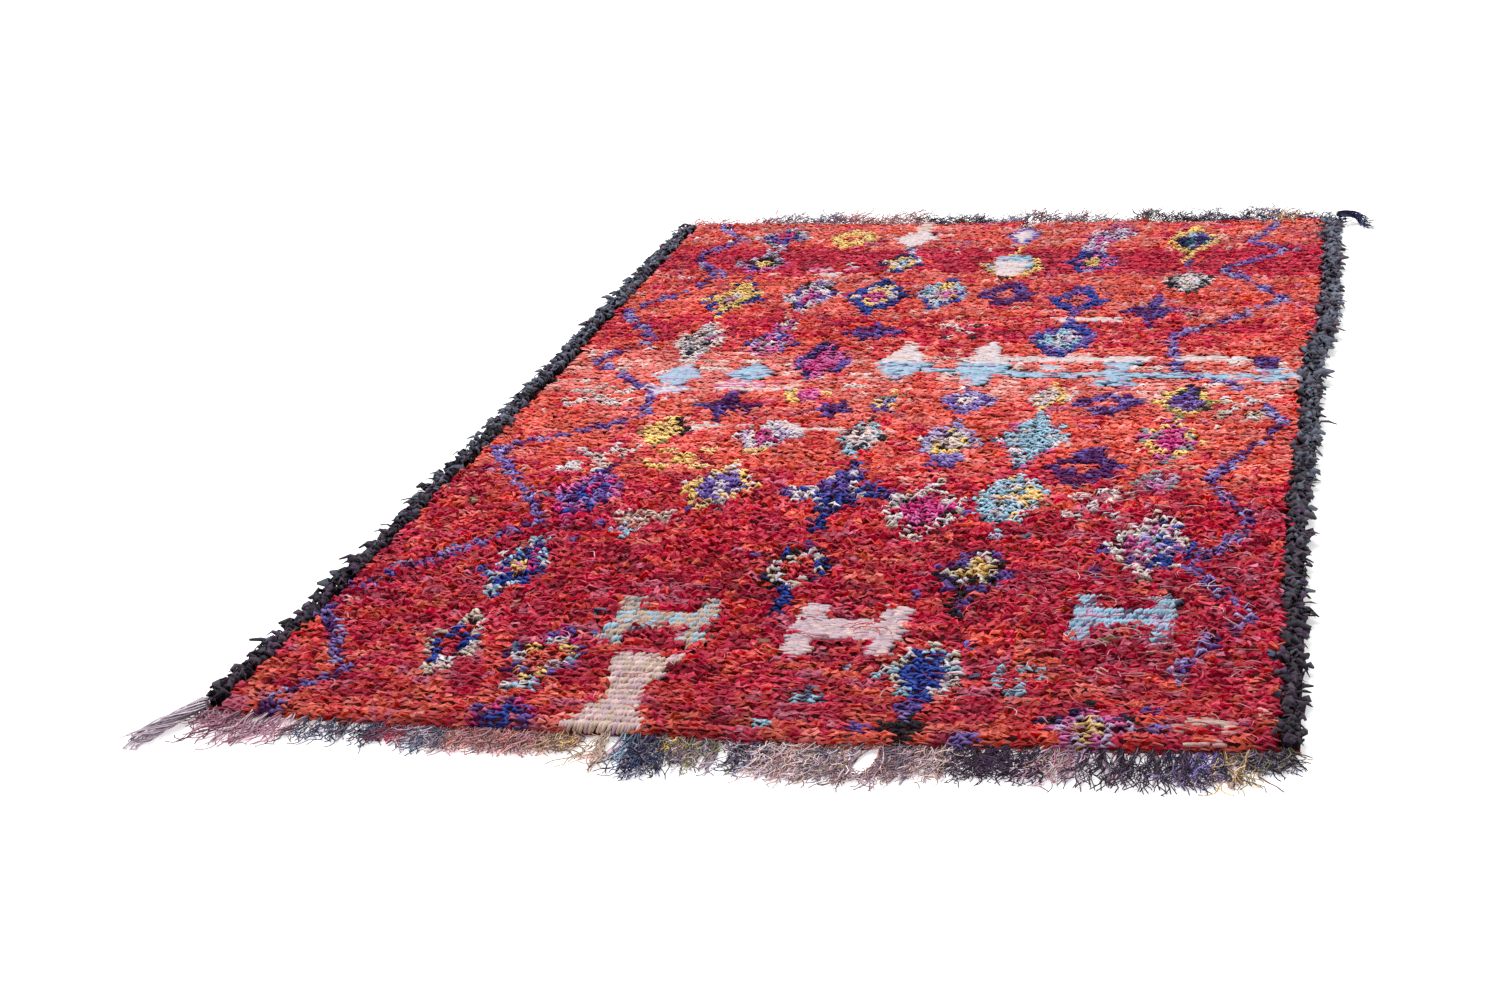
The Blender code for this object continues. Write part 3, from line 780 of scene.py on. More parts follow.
def cloth_finish(name, strand_mm, fuzz_mm, depth, sheen, dimmest, brightest):
    """Dyed cloth or yarn with a fine fuzz, streaked by its strands with painted shade in their creases, and
    with painted light: paler where it faces up, deeper in dye where it faces away.
    """
    made, tree, shader = finish(name)
    where = add(tree, "TexCoord")
    dyed = add(tree, "Attribute", attribute_name="dye")
    grain = add(tree, "Attribute", attribute_name="grain")
    stretched = add(
        tree, "Mapping", {"Vector": grain.outputs["Vector"]},
        Scale=(1000 / strand_mm, 200 / strand_mm, 900.0),
    )
    strands = add(
        tree, "TexNoise", {"Vector": stretched.outputs["Vector"]}, Scale=1.0, Detail=3.0, Roughness=0.6,
    )
    fuzz = add(tree, "TexNoise", {"Vector": where.outputs["Object"]}, Scale=1000 / fuzz_mm, Detail=2.0)
    # The streaks are partly the strands' own tone and partly painted shade in the creases of the folds, which
    # the same noise raises.
    strand_streaks_and_crease_shade = add(
        tree, "MapRange", {"Value": strands.outputs["Fac"]},
        From_Min=0.30, From_Max=0.66, To_Min=dimmest, To_Max=brightest,
    )
    # Painted light: faces that turn up are drawn paler and faces that turn away deeper in dye, as lit and
    # shaded sides.
    facing = add(tree, "NewGeometry")
    upward = add(tree, "SeparateXYZ", {"Vector": facing.outputs["Normal"]})
    # How far a face turns up, plus its streaks, which sets the painted highlight and shade below.
    worn = add(tree, "Math", {0: upward.outputs["Z"], 1: strand_streaks_and_crease_shade.outputs["Result"]}, operation="ADD")
    painted_shade_and_highlight = add(
        tree, "MapRange", {"Value": worn.outputs["Value"]},
        From_Min=1.15, From_Max=2.20, To_Min=1.12, To_Max=0.89,
    )
    dye_with_painted_light = add(
        tree, "HueSaturation",
        {
            "Color": dyed.outputs["Color"], "Saturation": painted_shade_and_highlight.outputs["Result"],
            "Value": strand_streaks_and_crease_shade.outputs["Result"],
        },
    )
    folds = add(tree, "Bump", {"Height": strands.outputs["Fac"]}, Strength=0.9, Distance=depth)
    hairs = add(
        tree, "Bump", {"Height": fuzz.outputs["Fac"], "Normal": folds.outputs["Normal"]},
        Strength=0.6, Distance=depth / 2,
    )
    set_up(
        shader, {"Base Color": dye_with_painted_light.outputs["Color"], "Normal": hairs.outputs["Normal"]},
        Roughness=0.9, Specular_IOR_Level=0.04, Sheen_Weight=sheen, Sheen_Roughness=0.5,
    )
    return made


rag_cloth = cloth_finish("torn rag strips, matt jersey and wool", 2.6, 1.2, 0.0020, 0.05, 0.66, 1.34)
yarn_cloth = cloth_finish("hand-spun wool yarn, cut pile", 2.0, 1.1, 0.0015, 0.05, 0.74, 1.24)
flat_cloth = cloth_finish("flat-woven cotton weft", 2.0, 1.2, 0.0008, 0.05, 0.80, 1.16)

x, y, row = grid_of_knots(ROW_PITCH, KNOT_PITCH, rng)
dyes, ties = chart(x, y, row, rng)

# Each knot's four ends: three lie on the crest of its row, and one slopes down its near side. The knots of
# the first and the last row have two more, which hang over the end of the rug.
KNOT_ENDS = np.array((
    # across, along, share of the height, slope of its face, painted shade, lighter on the crest and darker
    # down the furrow
    (0.0000, 0.0072, 0.94, 0.00, 1.00),
    (0.0060, 0.0016, 1.00, 0.20, 1.05),
    (0.0010, -0.0042, 0.93, 0.50, 0.92),
    (0.0065, -0.0100, 0.76, 0.80, 0.74),
    (-0.0030, -0.0120, 0.58, 1.10, 0.78),
    (0.0030, -0.0150, 0.30, 1.35, 0.66),
))
ends, knots = (grid.ravel() for grid in np.mgrid[0 : len(KNOT_ENDS), 0 : len(x)])
at_an_end = (row == 0) | (row == row.max())
kept = (ends < 4) | at_an_end[knots]
ends, knots = ends[kept], knots[kept]
faces_far = row[knots] == row.max()
across, along, share, slopes, shades = KNOT_ENDS[ends].T
x, y = x[knots] + across, y[knots] + along * np.where(faces_far, -1, 1)
dyes, ties = dyes[knots], ties[knots]
count = len(x)
tops = crest(x, y)
shag = read_off(SHAG, y)
shag += 0.12 * np.clip((x - 0.40) / 0.15, 0, 1) * np.clip(1 - np.abs(y + 0.65) / 0.40, 0, 1)
wild = np.clip((shag - 0.94) / 0.12, 0, 1)  # how untidily the locks lie
BASE = 0.0020  # where a knot leaves the ground
tall = (tops - BASE) * share * shag * rng.normal(1, 0.05 + 0.05 * wild, count) / LOCK_HEIGHT
# Random tone, patches, the brightness along the rug, and the painted shade of each end.
tone_and_painted_shade = rng.uniform(0.86, 1.12, count) * shades * read_off(BRIGHTNESS_ALONG, y)
tone_and_painted_shade *= 1 + 0.10 * swell(x, y, 0.040, 0.022, 71) + 0.07 * swell(x, y, 0.14, 0.09, 72)
tone_and_painted_shade = tone_and_painted_shade[:, None]
places = np.column_stack((x, y + 0.002 * wild * rng.normal(size=count), np.full(count, BASE)))

frames = turn_frames(
    np.where(faces_far, math.pi, 0) + rng.normal(0, 0.25 + 0.25 * wild, count),
    rng.normal(0, 0.09 + 0.08 * wild, count),
    rng.normal(0, 0.11 + 0.08 * wild, count),
    rng.uniform(0.88, 1.15, count), tall, rng.uniform(0.88, 1.12, count),
)
picks = rng.integers(0, LOCK_KINDS, count) + LOCK_KINDS * ends
YARN_SIZES = {"length": 0.0155, "width": 0.0068, "thick": 0.0021, "rough": 0.0004}
for stem, tie, material, seed, sizes in (
    ("rag_pile", "rag", rag_cloth, 12, {}),
    ("motif_knots", "yarn", yarn_cloth, 13, YARN_SIZES),
):
    sets = [shape_set(rag_lock, LOCK_KINDS, seed, slope=slope, **sizes) for slope in KNOT_ENDS[:, 3]]
    points = np.concatenate([points for points, _ in sets])
    chosen = ties == TIES[tie]
    # Torn cloth creases sharply and yarn doesn't.
    pile_pieces += add_pieces(
        stem, points, sets[0][1], picks[chosen], frames[chosen], places[chosen], (dyes * tone_and_painted_shade)[chosen],
        material, "red_rag_pile", ["rug_field"], smooth=tie == "yarn", root_shade=PILE_ROOT_SHADE,
    )

# The flat-woven motifs.
# H shapes, hourglasses, peaks and bands where the weaver passed a thick weft instead of tying knots, so they
# lie lower than the pile. Some are packed in ropes a finger apart, and some are beaten smooth.
SMOOTH_ROW, SMOOTH_PITCH = 0.0048, 0.0120
ROPE_ROW, ROPE_PITCH = 0.0165, 0.0050
WEFT_KINDS = 6
WEFT_RISE = 0.010  # as a float of weft is drawn, before it is sized to the pile


def weft_arch(draw, length=0.0165, width=0.0062, drop=0.06, rise=WEFT_RISE):
    """One float of a thick weft, which arches over the warps along X."""
    length *= draw.uniform(0.9, 1.1)
    path = [
        Vector((-0.50 * length, 0, rise * (1 - drop))),
        Vector((-0.22 * length, 0, rise * (1 - 0.1 * drop))),
        Vector((0.22 * length, 0, rise * (1 - 0.1 * drop))),
        Vector((0.50 * length, 0, rise * (1 - drop))),
    ]
    widths = [0.75 * width, width, width, 0.75 * width]
    bm = draw_strip(path, Vector((0, 1, 0)), widths, [0.45 * width] * 4, draw.normal(0, 0.06, 4))
    bmesh.ops.translate(bm, vec=(0, 0, -0.45 * width), verts=bm.verts)
    return bm


for stem, tie, row_pitch, pitch, height, slant, sizes in (
    # name, tie, spacing of its rows and floats, greatest height, slant of its floats, their sizes
    ("roped_motifs", "low", ROPE_ROW, ROPE_PITCH, 0.0205, 0.95, {"length": 0.0180, "drop": 0.50}),
    ("smooth_motifs", "flat", SMOOTH_ROW, SMOOTH_PITCH, 0.0185, 0.0, {}),
):
    weft_points, weft_faces = shape_set(weft_arch, WEFT_KINDS, 14, **sizes)
    x, y, row = grid_of_knots(row_pitch, pitch, rng)
    dyes, ties = chart(x, y, row, rng)
    chosen = ties == TIES[tie]
    x, y, dyes = x[chosen], y[chosen], dyes[chosen]
    count = len(x)
    pile = (crest(x, y) - BASE) * read_off(SHAG, y)
    rise = np.minimum(0.92 * pile, height) / WEFT_RISE
    frames = turn_frames(
        rng.normal(slant, 0.08, count), rng.normal(0, 0.03, count), rng.normal(0, 0.03, count),
        np.ones(count), rise * rng.uniform(0.97, 1.03, count), rng.uniform(0.95, 1.1, count),
    )
    places = np.column_stack((x, y, np.full(count, BASE)))
    tints = dyes * rng.uniform(0.9, 1.08, (count, 1))
    pile_pieces += add_pieces(
        stem, weft_points, weft_faces, rng.integers(0, WEFT_KINDS, count), frames, places, tints, flat_cloth,
        "red_rag_pile", ["rug_field"],
    )

# The borders.
# Charcoal jersey rags, longer than the pile, knotted down both edges. The outer ones fall over the edge cord
# and make its jagged rim.
BORDER_ROW = 0.0115
BORDER_COLUMNS = 5
BORDER_FROM_NEAR, BORDER_FROM_FAR = 0.008, 0.002  # how far out from the field the knots begin
BORDER_TO = 0.034  # and how far out they end
BORDER_BEYOND = 0.010  # how far the last locks hang over the near corners
STRAY_ALONG, STRAY_ACROSS = 0.0032, 0.0022  # how far a knot strays
INNER_EDGE = 0.005  # how far the border's inner edge comes and goes

charcoal_cloth = cloth_finish("charcoal cotton jersey rags", 3.2, 1.2, 0.0020, 0.10, 0.72, 1.30)


def rim_lock(draw, width=0.0140, thick=0.0026, rise=0.022, reach=0.019, rough=0.0005):
    """One long rag lock, which stands up, falls over towards -Y and hangs to its tip."""
    width *= draw.uniform(0.75, 1.20)
    reach *= draw.uniform(0.60, 1.25)
    sway = draw.uniform(-0.006, 0.006)
    path = [
        Vector((0, 0, 0)),
        Vector((0.2 * sway, -0.10 * reach, 0.75 * rise)),
        Vector((0.6 * sway, -0.50 * reach, rise * draw.uniform(0.90, 1.0))),
        Vector((sway, -reach, rise * draw.uniform(0.45, 0.85))),
    ]
    twist = draw.uniform(-0.9, 0.9)
    widths = [0.6 * width, width, 1.05 * width, width * draw.uniform(0.25, 0.55)]
    thicks = [0.6 * thick, 0.7 * thick, 0.7 * thick, 0.3 * thick]
    bm = draw_strip(path, Vector((1, 0, 0)), widths, thicks, [twist * share for share in (0, 0.2, 0.6, 1.0)])
    for vert in bm.verts:
        vert.co += Vector(draw.normal(0, rough, 3))
    return bm


border_points, border_faces = shape_set(rim_lock, LOCK_KINDS, 15)
border_pieces = []
for side, name in ((-1, "border_left"), (1, "border_right")):
    low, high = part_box(name)
    start, stop = low.y - BORDER_BEYOND, high.y + BORDER_BEYOND / 2
    rows = round((stop - start) / BORDER_ROW)
    row, column = (grid.ravel().astype(float) for grid in np.mgrid[0:rows, 0:BORDER_COLUMNS])
    count = len(row)
    y = start + (row + 0.5) / rows * (stop - start) + rng.normal(0, STRAY_ALONG, count)
    out = (column + 0.5) / BORDER_COLUMNS
    inner = np.interp(y, (start, stop), (BORDER_FROM_NEAR, BORDER_FROM_FAR))
    x = side_at(side, y) + side * (inner + out * (BORDER_TO - inner)) + rng.normal(0, STRAY_ACROSS, count)
    x -= side * INNER_EDGE * (1 - out) * swell(y, 0 * y, 0.030, 0.1, 31 + side)
    tuft = np.clip(swell(y, 0 * y, 0.026, 0.1, 41 + side), -0.6, 1.0)
    outward = side * (1.0 + 0.55 * out) + 0.5 * swell(y, 0 * y, 0.035, 0.1, 51 + side)
    outward += rng.normal(0, 0.35, count)
    tall = (1.02 - 0.30 * out) * rng.uniform(0.8, 1.1, count)
    long = rng.uniform(0.5, 0.85, count) * (1 + 0.35 * tuft * out)
    long *= 1 + 0.7 * (rng.uniform(size=count) < 0.10)
    frames = turn_frames(
        outward, rng.normal(0, 0.12, count), rng.normal(0, 0.12, count),
        rng.uniform(0.65, 1.35, count), tall, long,
    )
    # Plum-black rags towards the near end and blue-grey ones beyond, all drawn darker towards the near end
    # and lighter towards the far end.
    near_rags = mixed("charcoal ink aubergine ink", count, rng)
    far_rags = mixed("iron charcoal iron ink iron", count, rng)
    tints = np.where((y < rng.normal(-0.5, 0.25, count))[:, None], near_rags, far_rags)
    tints *= rng.uniform(0.6, 1.3, (count, 1)) * np.interp(y, (-1.2, -0.3, 1.2), (0.85, 1.10, 1.75))[:, None]
    places = np.column_stack((x, y, np.full(count, BASE)))
    border_pieces += add_pieces(
        f"charcoal_{name}", border_points, border_faces, rng.integers(0, LOCK_KINDS, count), frames, places,
        tints, charcoal_cloth, "charcoal_rag_locks", [name],
    )

# The fringes.
# Warps of hair and cotton, left long when the rug was cut off the loom. They have felted into a pale matted
# web, with curls all over it, and hang from it in bunches and loose threads.
THREAD_RADIUS, CURL_RADIUS = 0.0008, 0.00068
THREAD_STEPS, CURL_STEPS = 8, 6
WARP_LENGTH, CURL_LENGTH = 0.080, 0.030
HAIR_KINDS = 16
BUNCH_SPACING = 0.019
LOOSE_BUNCH, FELTED_BUNCH = 0.28, 0.66  # how wide a bunch is, as a share of the spacing
FELTED_FROM = 0.07  # felt locks a millimetre, from which a section's bunches are felted together
CURLED_SHARE = 0.82  # of the fringe's reach
FELT_MIX = "pearl pearl shell mist"
NEAR_SECTIONS = (
    # from and to across and reach in millimetres, lean in degrees, threads, curls and felt a millimetre, mix
    (-700, -640, 40, 8, 0.50, 1.10, 0.06, "dusty wine dusty mauve shell"),
    (-645, -600, 98, -20, 0.60, 0.10, 0.02, "dusty wine ash shell dusty"),
    (-610, -535, 88, -14, 0.60, 0.20, 0.02, "dusty ash mauve dusty shell"),
    (-540, -440, 66, 0, 0.55, 0.45, 0.02, "slate ash smoke ink slate"),
    (-450, -425, 40, 4, 0.40, 0.80, 0.08, "smoke ash"),
    (-430, -385, 54, -14, 0.80, 0.50, 0.08, "wine crimson smoke dusty"),
    (-395, -345, 52, 0, 0.30, 2.60, 0.22, "ash smoke slate mist"),
    (-350, -215, 46, 0, 0.25, 2.60, 0.24, "clay clay dusty salmon umber"),
    (-225, -176, 36, 4, 0.30, 2.20, 0.24, "sand gold tan sand umber"),
    (-151, -134, 100, 4, 1.60, 0.90, 0.14, "sand beige clay beige"),
    (-120, -106, 100, 0, 1.00, 0.70, 0.20, "sky slate pearl sky"),
    (-110, -64, 114, 4, 1.10, 1.50, 0.16, "navy ink slate navy smoke"),
    (-66, -40, 50, 10, 0.50, 0.90, 0.16, "gold olive yellow sand"),
    (-45, 30, 88, 4, 0.35, 1.60, 0.26, "ash olive smoke mist pearl"),
    (25, 62, 72, 0, 0.30, 1.60, 0.22, "ink slate smoke navy ash"),
    (58, 125, 102, -4, 0.15, 2.20, 0.40, "blush shell pearl clay blush"),
    (115, 180, 102, 0, 0.25, 2.40, 0.32, "umber smoke shell pearl tan"),
    (178, 235, 116, -12, 0.30, 2.40, 0.30, "umber smoke clay shell"),
    (225, 262, 90, -12, 0.35, 2.00, 0.26, "umber smoke umber ash shell"),
    (254, 296, 98, -10, 0.50, 1.30, 0.20, "shell sand pearl blush"),
    (292, 396, 88, 0, 0.70, 1.90, 0.06, "aubergine ink aubergine charcoal"),
    (392, 446, 90, -10, 0.60, 1.00, 0.16, "dusty shell pearl sand"),
    (440, 560, 94, -4, 0.95, 0.32, 0.04, "aubergine ink aubergine ink smoke"),
    (550, 605, 90, -4, 0.80, 1.30, 0.06, "navy raven violet ash smoke"),
    (602, 632, 100, 0, 0.60, 1.10, 0.12, "gold sand olive gold umber"),
    (632, 684, 48, 2, 0.40, 3.40, 0.22, "ink olive ash navy ink smoke"),
)
FAR_SECTIONS = (
    # from and to across and reach in millimetres, lean in degrees, threads, curls and felt a millimetre, mix
    (-700, -530, 26, 0, 0.25, 0.60, 0.10, "rose coral dusty"),
    (-530, -440, 50, 6, 0.25, 1.20, 0.14, "mauve smoke dusty ash"),
    (-440, -340, 52, -6, 0.25, 1.30, 0.14, "slate ash dusty smoke aubergine"),
    (-345, -180, 48, 4, 0.22, 1.30, 0.14, "clay salmon clay umber dusty"),
    (-180, -50, 44, 8, 0.28, 1.50, 0.12, "charcoal navy ash umber"),
    (-50, 50, 46, -4, 0.24, 1.30, 0.12, "smoke lavender sand ash"),
    (50, 200, 54, 4, 0.22, 1.20, 0.14, "umber mauve smoke umber"),
    (200, 290, 48, 0, 0.24, 1.10, 0.14, "sand smoke mauve umber"),
    (280, 400, 58, 8, 0.28, 1.50, 0.12, "aubergine charcoal ink umber"),
    (400, 560, 56, -4, 0.28, 1.50, 0.12, "ash charcoal aubergine navy"),
    (550, 630, 54, 4, 0.30, 1.50, 0.12, "navy violet gold yellow ash"),
    (620, 700, 44, 8, 0.32, 1.20, 0.14, "navy ink aubergine navy"),
)
FRINGE_GAPS = (
    # across, along, radius of a place with no warps
    (0.189, -1.286, 0.0090),
    (0.187, -1.296, 0.0095),
    (0.181, -1.306, 0.0065),
    (0.012, -1.301, 0.0065),
    (0.463, -1.296, 0.0048),
    (0.447, -1.286, 0.0028),
    (-0.129, -1.288, 0.0065),
    (-0.010, -1.312, 0.0035),
    (-0.470, -1.300, 0.0050),
)

warp_yarn = cloth_finish("hand-spun hair and cotton warps", 1.6, 0.8, 0.0008, 0.08, 0.72, 1.26)


def draw_thread(points, radius, corners=3):
    """A closed thin tube through these points."""
    angles = [2 * math.pi * corner / corners for corner in range(corners)]
    spokes = [radius * Vector((math.cos(angle), math.sin(angle), 0)) for angle in angles]
    turns = [step.to_track_quat("Z", "Y") for step in steps_of(points)]
    return drawn_out([[point + turn @ spoke for spoke in spokes] for point, turn in zip(points, turns)])


def warp_thread(draw, sway=0.0046, hump=0.004):
    """A loose warp that leaves the knots at some height, comes down to the floor and wavers to its tip."""
    phase, turns = draw.uniform(0, 6.28), draw.uniform(1.0, 2.8)
    curl = draw.normal(0, 0.012)
    points = []
    for step in range(THREAD_STEPS + 1):
        share = step / THREAD_STEPS
        waver = sway * min(1, 2 * share) * math.sin(phase + turns * 2 * math.pi * share) + curl * share**2
        bob = 0.0016 * (1 + math.sin(2.3 * phase + 9 * share))
        drop = hump * (1 - share) ** 3
        points.append(Vector((waver, -share * WARP_LENGTH, 0.0009 + bob + drop)))
    return draw_thread(points, THREAD_RADIUS)


def warp_curl(draw):
    """A short crimped warp, which curls about on the web."""
    phase, turns = draw.uniform(0, 6.28), draw.uniform(0.5, 1.5) * draw.choice((-1, 1))
    size = draw.uniform(0.0025, 0.0065)
    points = []
    for step in range(CURL_STEPS + 1):
        share = step / CURL_STEPS
        angle = phase + turns * 2 * math.pi * share
        lift = 0.0012 + 0.0012 * (1 + math.sin(2.1 * phase + 5 * share))
        across, ahead = size * math.cos(angle), 0.8 * size * math.sin(angle)
        points.append(Vector((across, ahead - share * CURL_LENGTH, lift)))
    return draw_thread(points, CURL_RADIUS)


def felt_lock(draw, width=0.0125, thick=0.0008):
    """A thin flat lock of the felted web, with a ragged tip."""
    width *= draw.uniform(0.6, 1.3)
    phase = draw.uniform(0, 6.28)
    path = []
    for share in (0, 0.25, 0.5, 0.75, 1):
        lift = 0.0010 + 0.0020 * (1 - share) ** 2
        path.append(Vector((0.004 * math.sin(phase + 4.5 * share), -share * WARP_LENGTH, lift)))
    widths = [width, width, 0.9 * width, 0.6 * width, 0.2 * width]
    return draw_strip(path, Vector((1, 0, 0)), widths, [thick] * 5, draw.normal(0, 0.06, 5))


HAIRS = {
    # the shapes, then the spread in radians, the shortest and longest share of the reach or of its own size,
    # the greatest height at the root, and whether it starts at the knots
    "threads": (*shape_set(warp_thread, HAIR_KINDS, 16), 0.22, 0.55, 1.08, 0.003, True),
    "curls": (*shape_set(warp_curl, HAIR_KINDS, 17), 0.80, 0.70, 1.35, 0.007, False),
    "felt": (*shape_set(felt_lock, HAIR_KINDS, 18), 0.10, 0.65, 0.90, 0.001, True),
}
FAR_LIFT = 0.30  # radians that the far fringe's bunches stand up from the floor
FAR_TOP = 0.029  # no tip stands higher than this


def fringe_of(end, sections, kind, draw):
    """Turns, sizes, places and dyes of one kind of hair at one end."""
    _, _, spread, shortest, longest, height, is_rooted = HAIRS[kind]
    flip = math.pi if end > 0 else 0.0
    made = []
    for *limits, lean, threads, curls, felt, mix in sections:
        start, stop, reach = (limit / 1000 for limit in limits)
        lean = math.radians(lean) * -end
        many = round((stop - start) * 1000 * {"threads": threads, "curls": curls, "felt": felt}[kind])
        x = draw.uniform(start, stop, many)
        bunch = (np.floor(x / BUNCH_SPACING) + 0.5) * BUNCH_SPACING
        x = bunch + (LOOSE_BUNCH if felt < FELTED_FROM else FELTED_BUNCH) * (x - bunch)
        # Three fast sines of its place give each bunch its own fan, size and shade.
        fans_out = np.where(np.sin(bunch * 977) > -0.2, 0.9, -0.9)
        way = lean + np.arctan2(fans_out * (x - bunch), reach) * -end
        turn = flip + way + draw.normal(0, spread, many)
        size = draw.uniform(shortest, longest, many) * (1 + 0.09 * np.sin(bunch * 677))
        y = end_at(end, x) + end * 0.002
        out = np.zeros(many)
        if is_rooted:
            size *= reach / WARP_LENGTH
        else:
            out = draw.uniform(0, 1, many) ** 1.25
            x += np.sin(way) * out * CURLED_SHARE * reach * -end
            y += np.cos(way) * out * CURLED_SHARE * reach * end
        z = draw.uniform(0, height, many) * (1 - 0.75 * out)
        dyes = mixed(FELT_MIX if kind == "felt" else mix, many, draw)
        dyes *= (1 + 0.20 * np.sin(bunch * 1453))[:, None]
        made.append((turn, size, x, y, z, dyes))
    return [np.concatenate(column) for column in zip(*made)]


fringe_pieces = []
for end, name, sections in ((-1, "fringe_near", NEAR_SECTIONS), (1, "fringe_far", FAR_SECTIONS)):
    for kind, (points, faces, *_) in HAIRS.items():
        turn, size, x, y, z, dyes = fringe_of(end, sections, kind, rng)
        count = len(x)
        lift = np.zeros(count)
        if end > 0 and kind != "felt":
            tufts = 1 + 0.5 * swell(x, 0 * x, 0.05, 0.1, 61)
            z = np.minimum(z + FAR_LIFT * tufts * np.maximum(y - end_at(end, x), 0), 0.7 * FAR_TOP)
            most = (FAR_TOP - z) / (size * (WARP_LENGTH if kind == "threads" else CURL_LENGTH))
            lift = -np.minimum(np.abs(rng.normal(FAR_LIFT, 0.08, count)) * tufts, most)
        wide = size if kind == "curls" else rng.uniform(0.8, 1.2, count)
        frames = turn_frames(turn, lift, np.zeros(count), wide, rng.uniform(0.8, 1.2, count), size)
        places = np.column_stack((x, y, z))
        picks = rng.integers(0, HAIR_KINDS, count)
        placed = np.einsum("nij,nvj->nvi", frames, points[picks]) + places[:, None, :]
        clear = np.ones(count, bool)
        for gap_x, gap_y, radius in FRINGE_GAPS:
            away = np.hypot(placed[:, :, 0] - gap_x, (placed[:, :, 1] - gap_y) * 0.8).min(axis=1)
            clear &= away > radius
        dimmest, brightest = (0.90, 1.20) if kind == "felt" else (0.62, 1.25)
        tints = dyes * rng.uniform(dimmest, brightest, (count, 1))
        fringe_pieces += add_pieces(
            f"{name}_{kind}", points, faces, picks[clear], frames[clear], places[clear], tints[clear],
            warp_yarn, "warp_fringe", [name], root_shade=WARP_ROOT_SHADE,
        )

# The frayed threads.
# Fine ends that have worked out of the rags and lie about on the pile, most of them at the near right.
FRAYED = (
    # from and to across, from and to along, count, mix
    (0.30, 0.64, -1.22, -0.35, 340, "rose crimson dusty clay rose maroon shell"),
    (-0.64, 0.30, -1.24, -0.60, 240, "rose crimson crimson dusty maroon coral"),
    (-0.62, 0.62, -0.60, 1.20, 110, "coral salmon crimson rose"),
    (0.40, 0.60, -1.05, -0.70, 14, "cream shell"),
)
FRAY_SINK = 0.0008  # how far the threads sink into the pile

from_x, to_x, from_y, to_y, many, mixes = zip(*FRAYED)
frayed = sum(many)
x = rng.uniform(np.repeat(from_x, many), np.repeat(to_x, many))
y = rng.uniform(np.repeat(from_y, many), np.repeat(to_y, many))
size = rng.uniform(0.7, 1.5, frayed)
x = np.minimum(x, side_at(1, y) - size * CURL_LENGTH)
frames = turn_frames(
    math.pi / 2 + rng.normal(0, 0.55, frayed), rng.normal(0, 0.05, frayed), rng.normal(0, 0.1, frayed),
    size * rng.uniform(0.5, 1.0, frayed), rng.uniform(0.6, 1.2, frayed), size,
)
z = crest(x, y) * read_off(SHAG, y) - FRAY_SINK
tints = np.concatenate([mixed(mix, count, rng) for mix, count in zip(mixes, many)])
pile_pieces += add_pieces(
    "frayed_threads", *HAIRS["curls"][:2], rng.integers(0, HAIR_KINDS, frayed), frames,
    np.column_stack((x, y, z)), tints * rng.uniform(1.0, 1.9, (frayed, 1)), rag_cloth, "red_rag_pile",
    ["rug_field"],
)

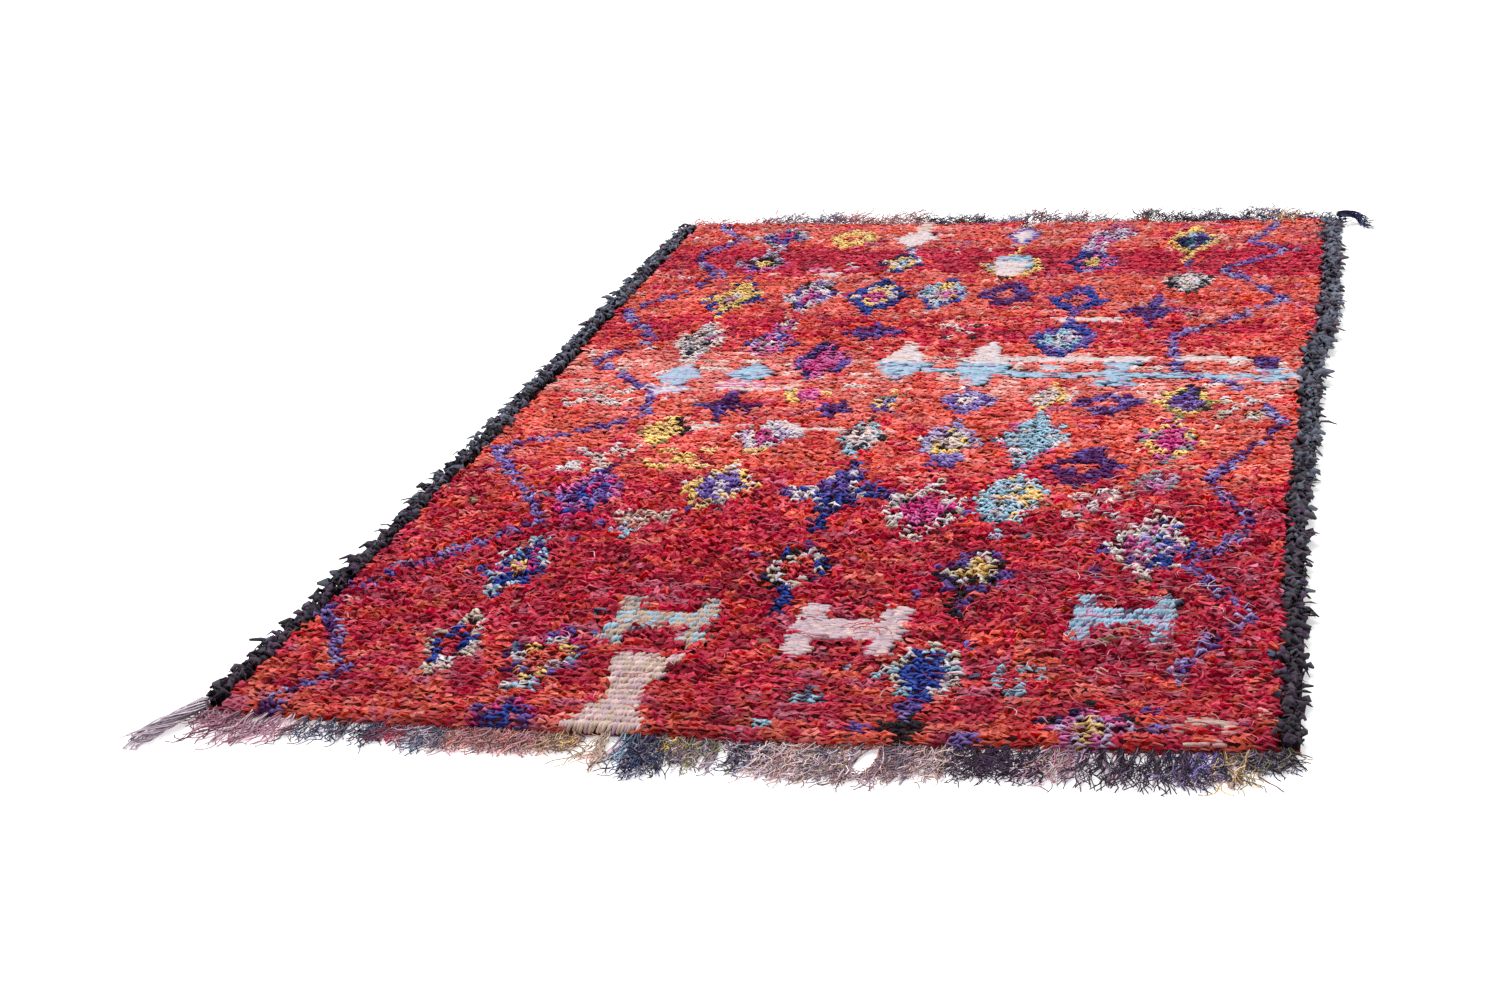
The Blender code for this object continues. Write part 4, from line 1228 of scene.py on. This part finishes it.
# The corner tails.
# At two corners the last warps were gathered into one thick soft lock that trails away over the floor.
TAIL_THREADS = 56
TAIL_STEPS = 12
TAIL_TWIST = 5.0  # radians from its root to its tip
TAIL_LIFT = 0.0012  # of its lowest threads over the floor
TAIL_FLATNESS = 0.62  # it has sunk to this share of its width
TAILS = (
    # name, node, its route over the floor as across and along, its radius, the height of its root, mix
    ("tail_near_left", "fringe_near",
     ((-0.690, -1.236), (-0.706, -1.272), (-0.722, -1.306), (-0.736, -1.338), (-0.744, -1.362)),
     0.0105, 0.006, "smoke pearl shell mist mist"),
    ("tail_far_right", "fringe_far",
     ((0.690, 1.280), (0.712, 1.303), (0.733, 1.304), (0.747, 1.280), (0.750, 1.250)),
     0.0105, 0.018, "navy ink slate navy"),
)


def spline(points, share):
    """A point at this share of a smooth route through the points."""
    at = share * (len(points) - 1)
    index = min(int(at), len(points) - 2)
    local = at - index
    before, here = Vector(points[max(index - 1, 0)]), Vector(points[index])
    there, beyond = Vector(points[index + 1]), Vector(points[min(index + 2, len(points) - 1)])
    return 0.5 * (
        2 * here
        + (there - before) * local
        + (2 * before - 5 * here + 4 * there - beyond) * local**2
        + (3 * here - before - 3 * there + beyond) * local**3
    )


for name, fringe_node, route, radius, root_height, mix in TAILS:
    joined = bmesh.new()
    tones = []
    for thread in range(TAIL_THREADS):
        around, away = rng.uniform(0, 2 * math.pi), radius * math.sqrt(rng.uniform(0, 1))
        last = rng.uniform(0.55, 1.0)
        points = []
        for step in range(TAIL_STEPS + 1):
            share = last * step / TAIL_STEPS
            centre = spline(route, share)
            ahead = (spline(route, min(1, share + 0.02)) - spline(route, max(0, share - 0.02))).normalized()
            aside = Vector((-ahead.y, ahead.x))
            angle = around + TAIL_TWIST * share
            spread = away * (0.80 + 0.30 * math.sin(3 * share) + 0.8 * share**3)
            crimp = 0.0014 * math.sin(14 * share + 2.4 * thread)
            flat = centre + aside * (spread * math.cos(angle) + crimp)
            hang = root_height * max(0, 1 - 1.6 * share) ** 0.7
            height = TAIL_LIFT + TAIL_FLATNESS * (spread * math.sin(angle) + away) + hang
            points.append(Vector((flat.x, flat.y, max(height, TAIL_LIFT))))
        bm = draw_thread(points, THREAD_RADIUS)
        tones += [mixed(mix, 1, rng)[0] * rng.uniform(0.8, 1.1)] * len(bm.verts)
        part = mesh_of(bm, "part")
        joined.from_mesh(part)
        bpy.data.meshes.remove(part)
    mesh = mesh_of(joined, name)
    mesh.shade_smooth()
    dyed = mesh.color_attributes.new("dye", "FLOAT_COLOR", "POINT")
    dyed.data.foreach_set("color", np.column_stack((np.array(tones), np.ones(len(tones)))).ravel())
    fringe_pieces.append(place(name, mesh, warp_yarn, [fringe_node]))
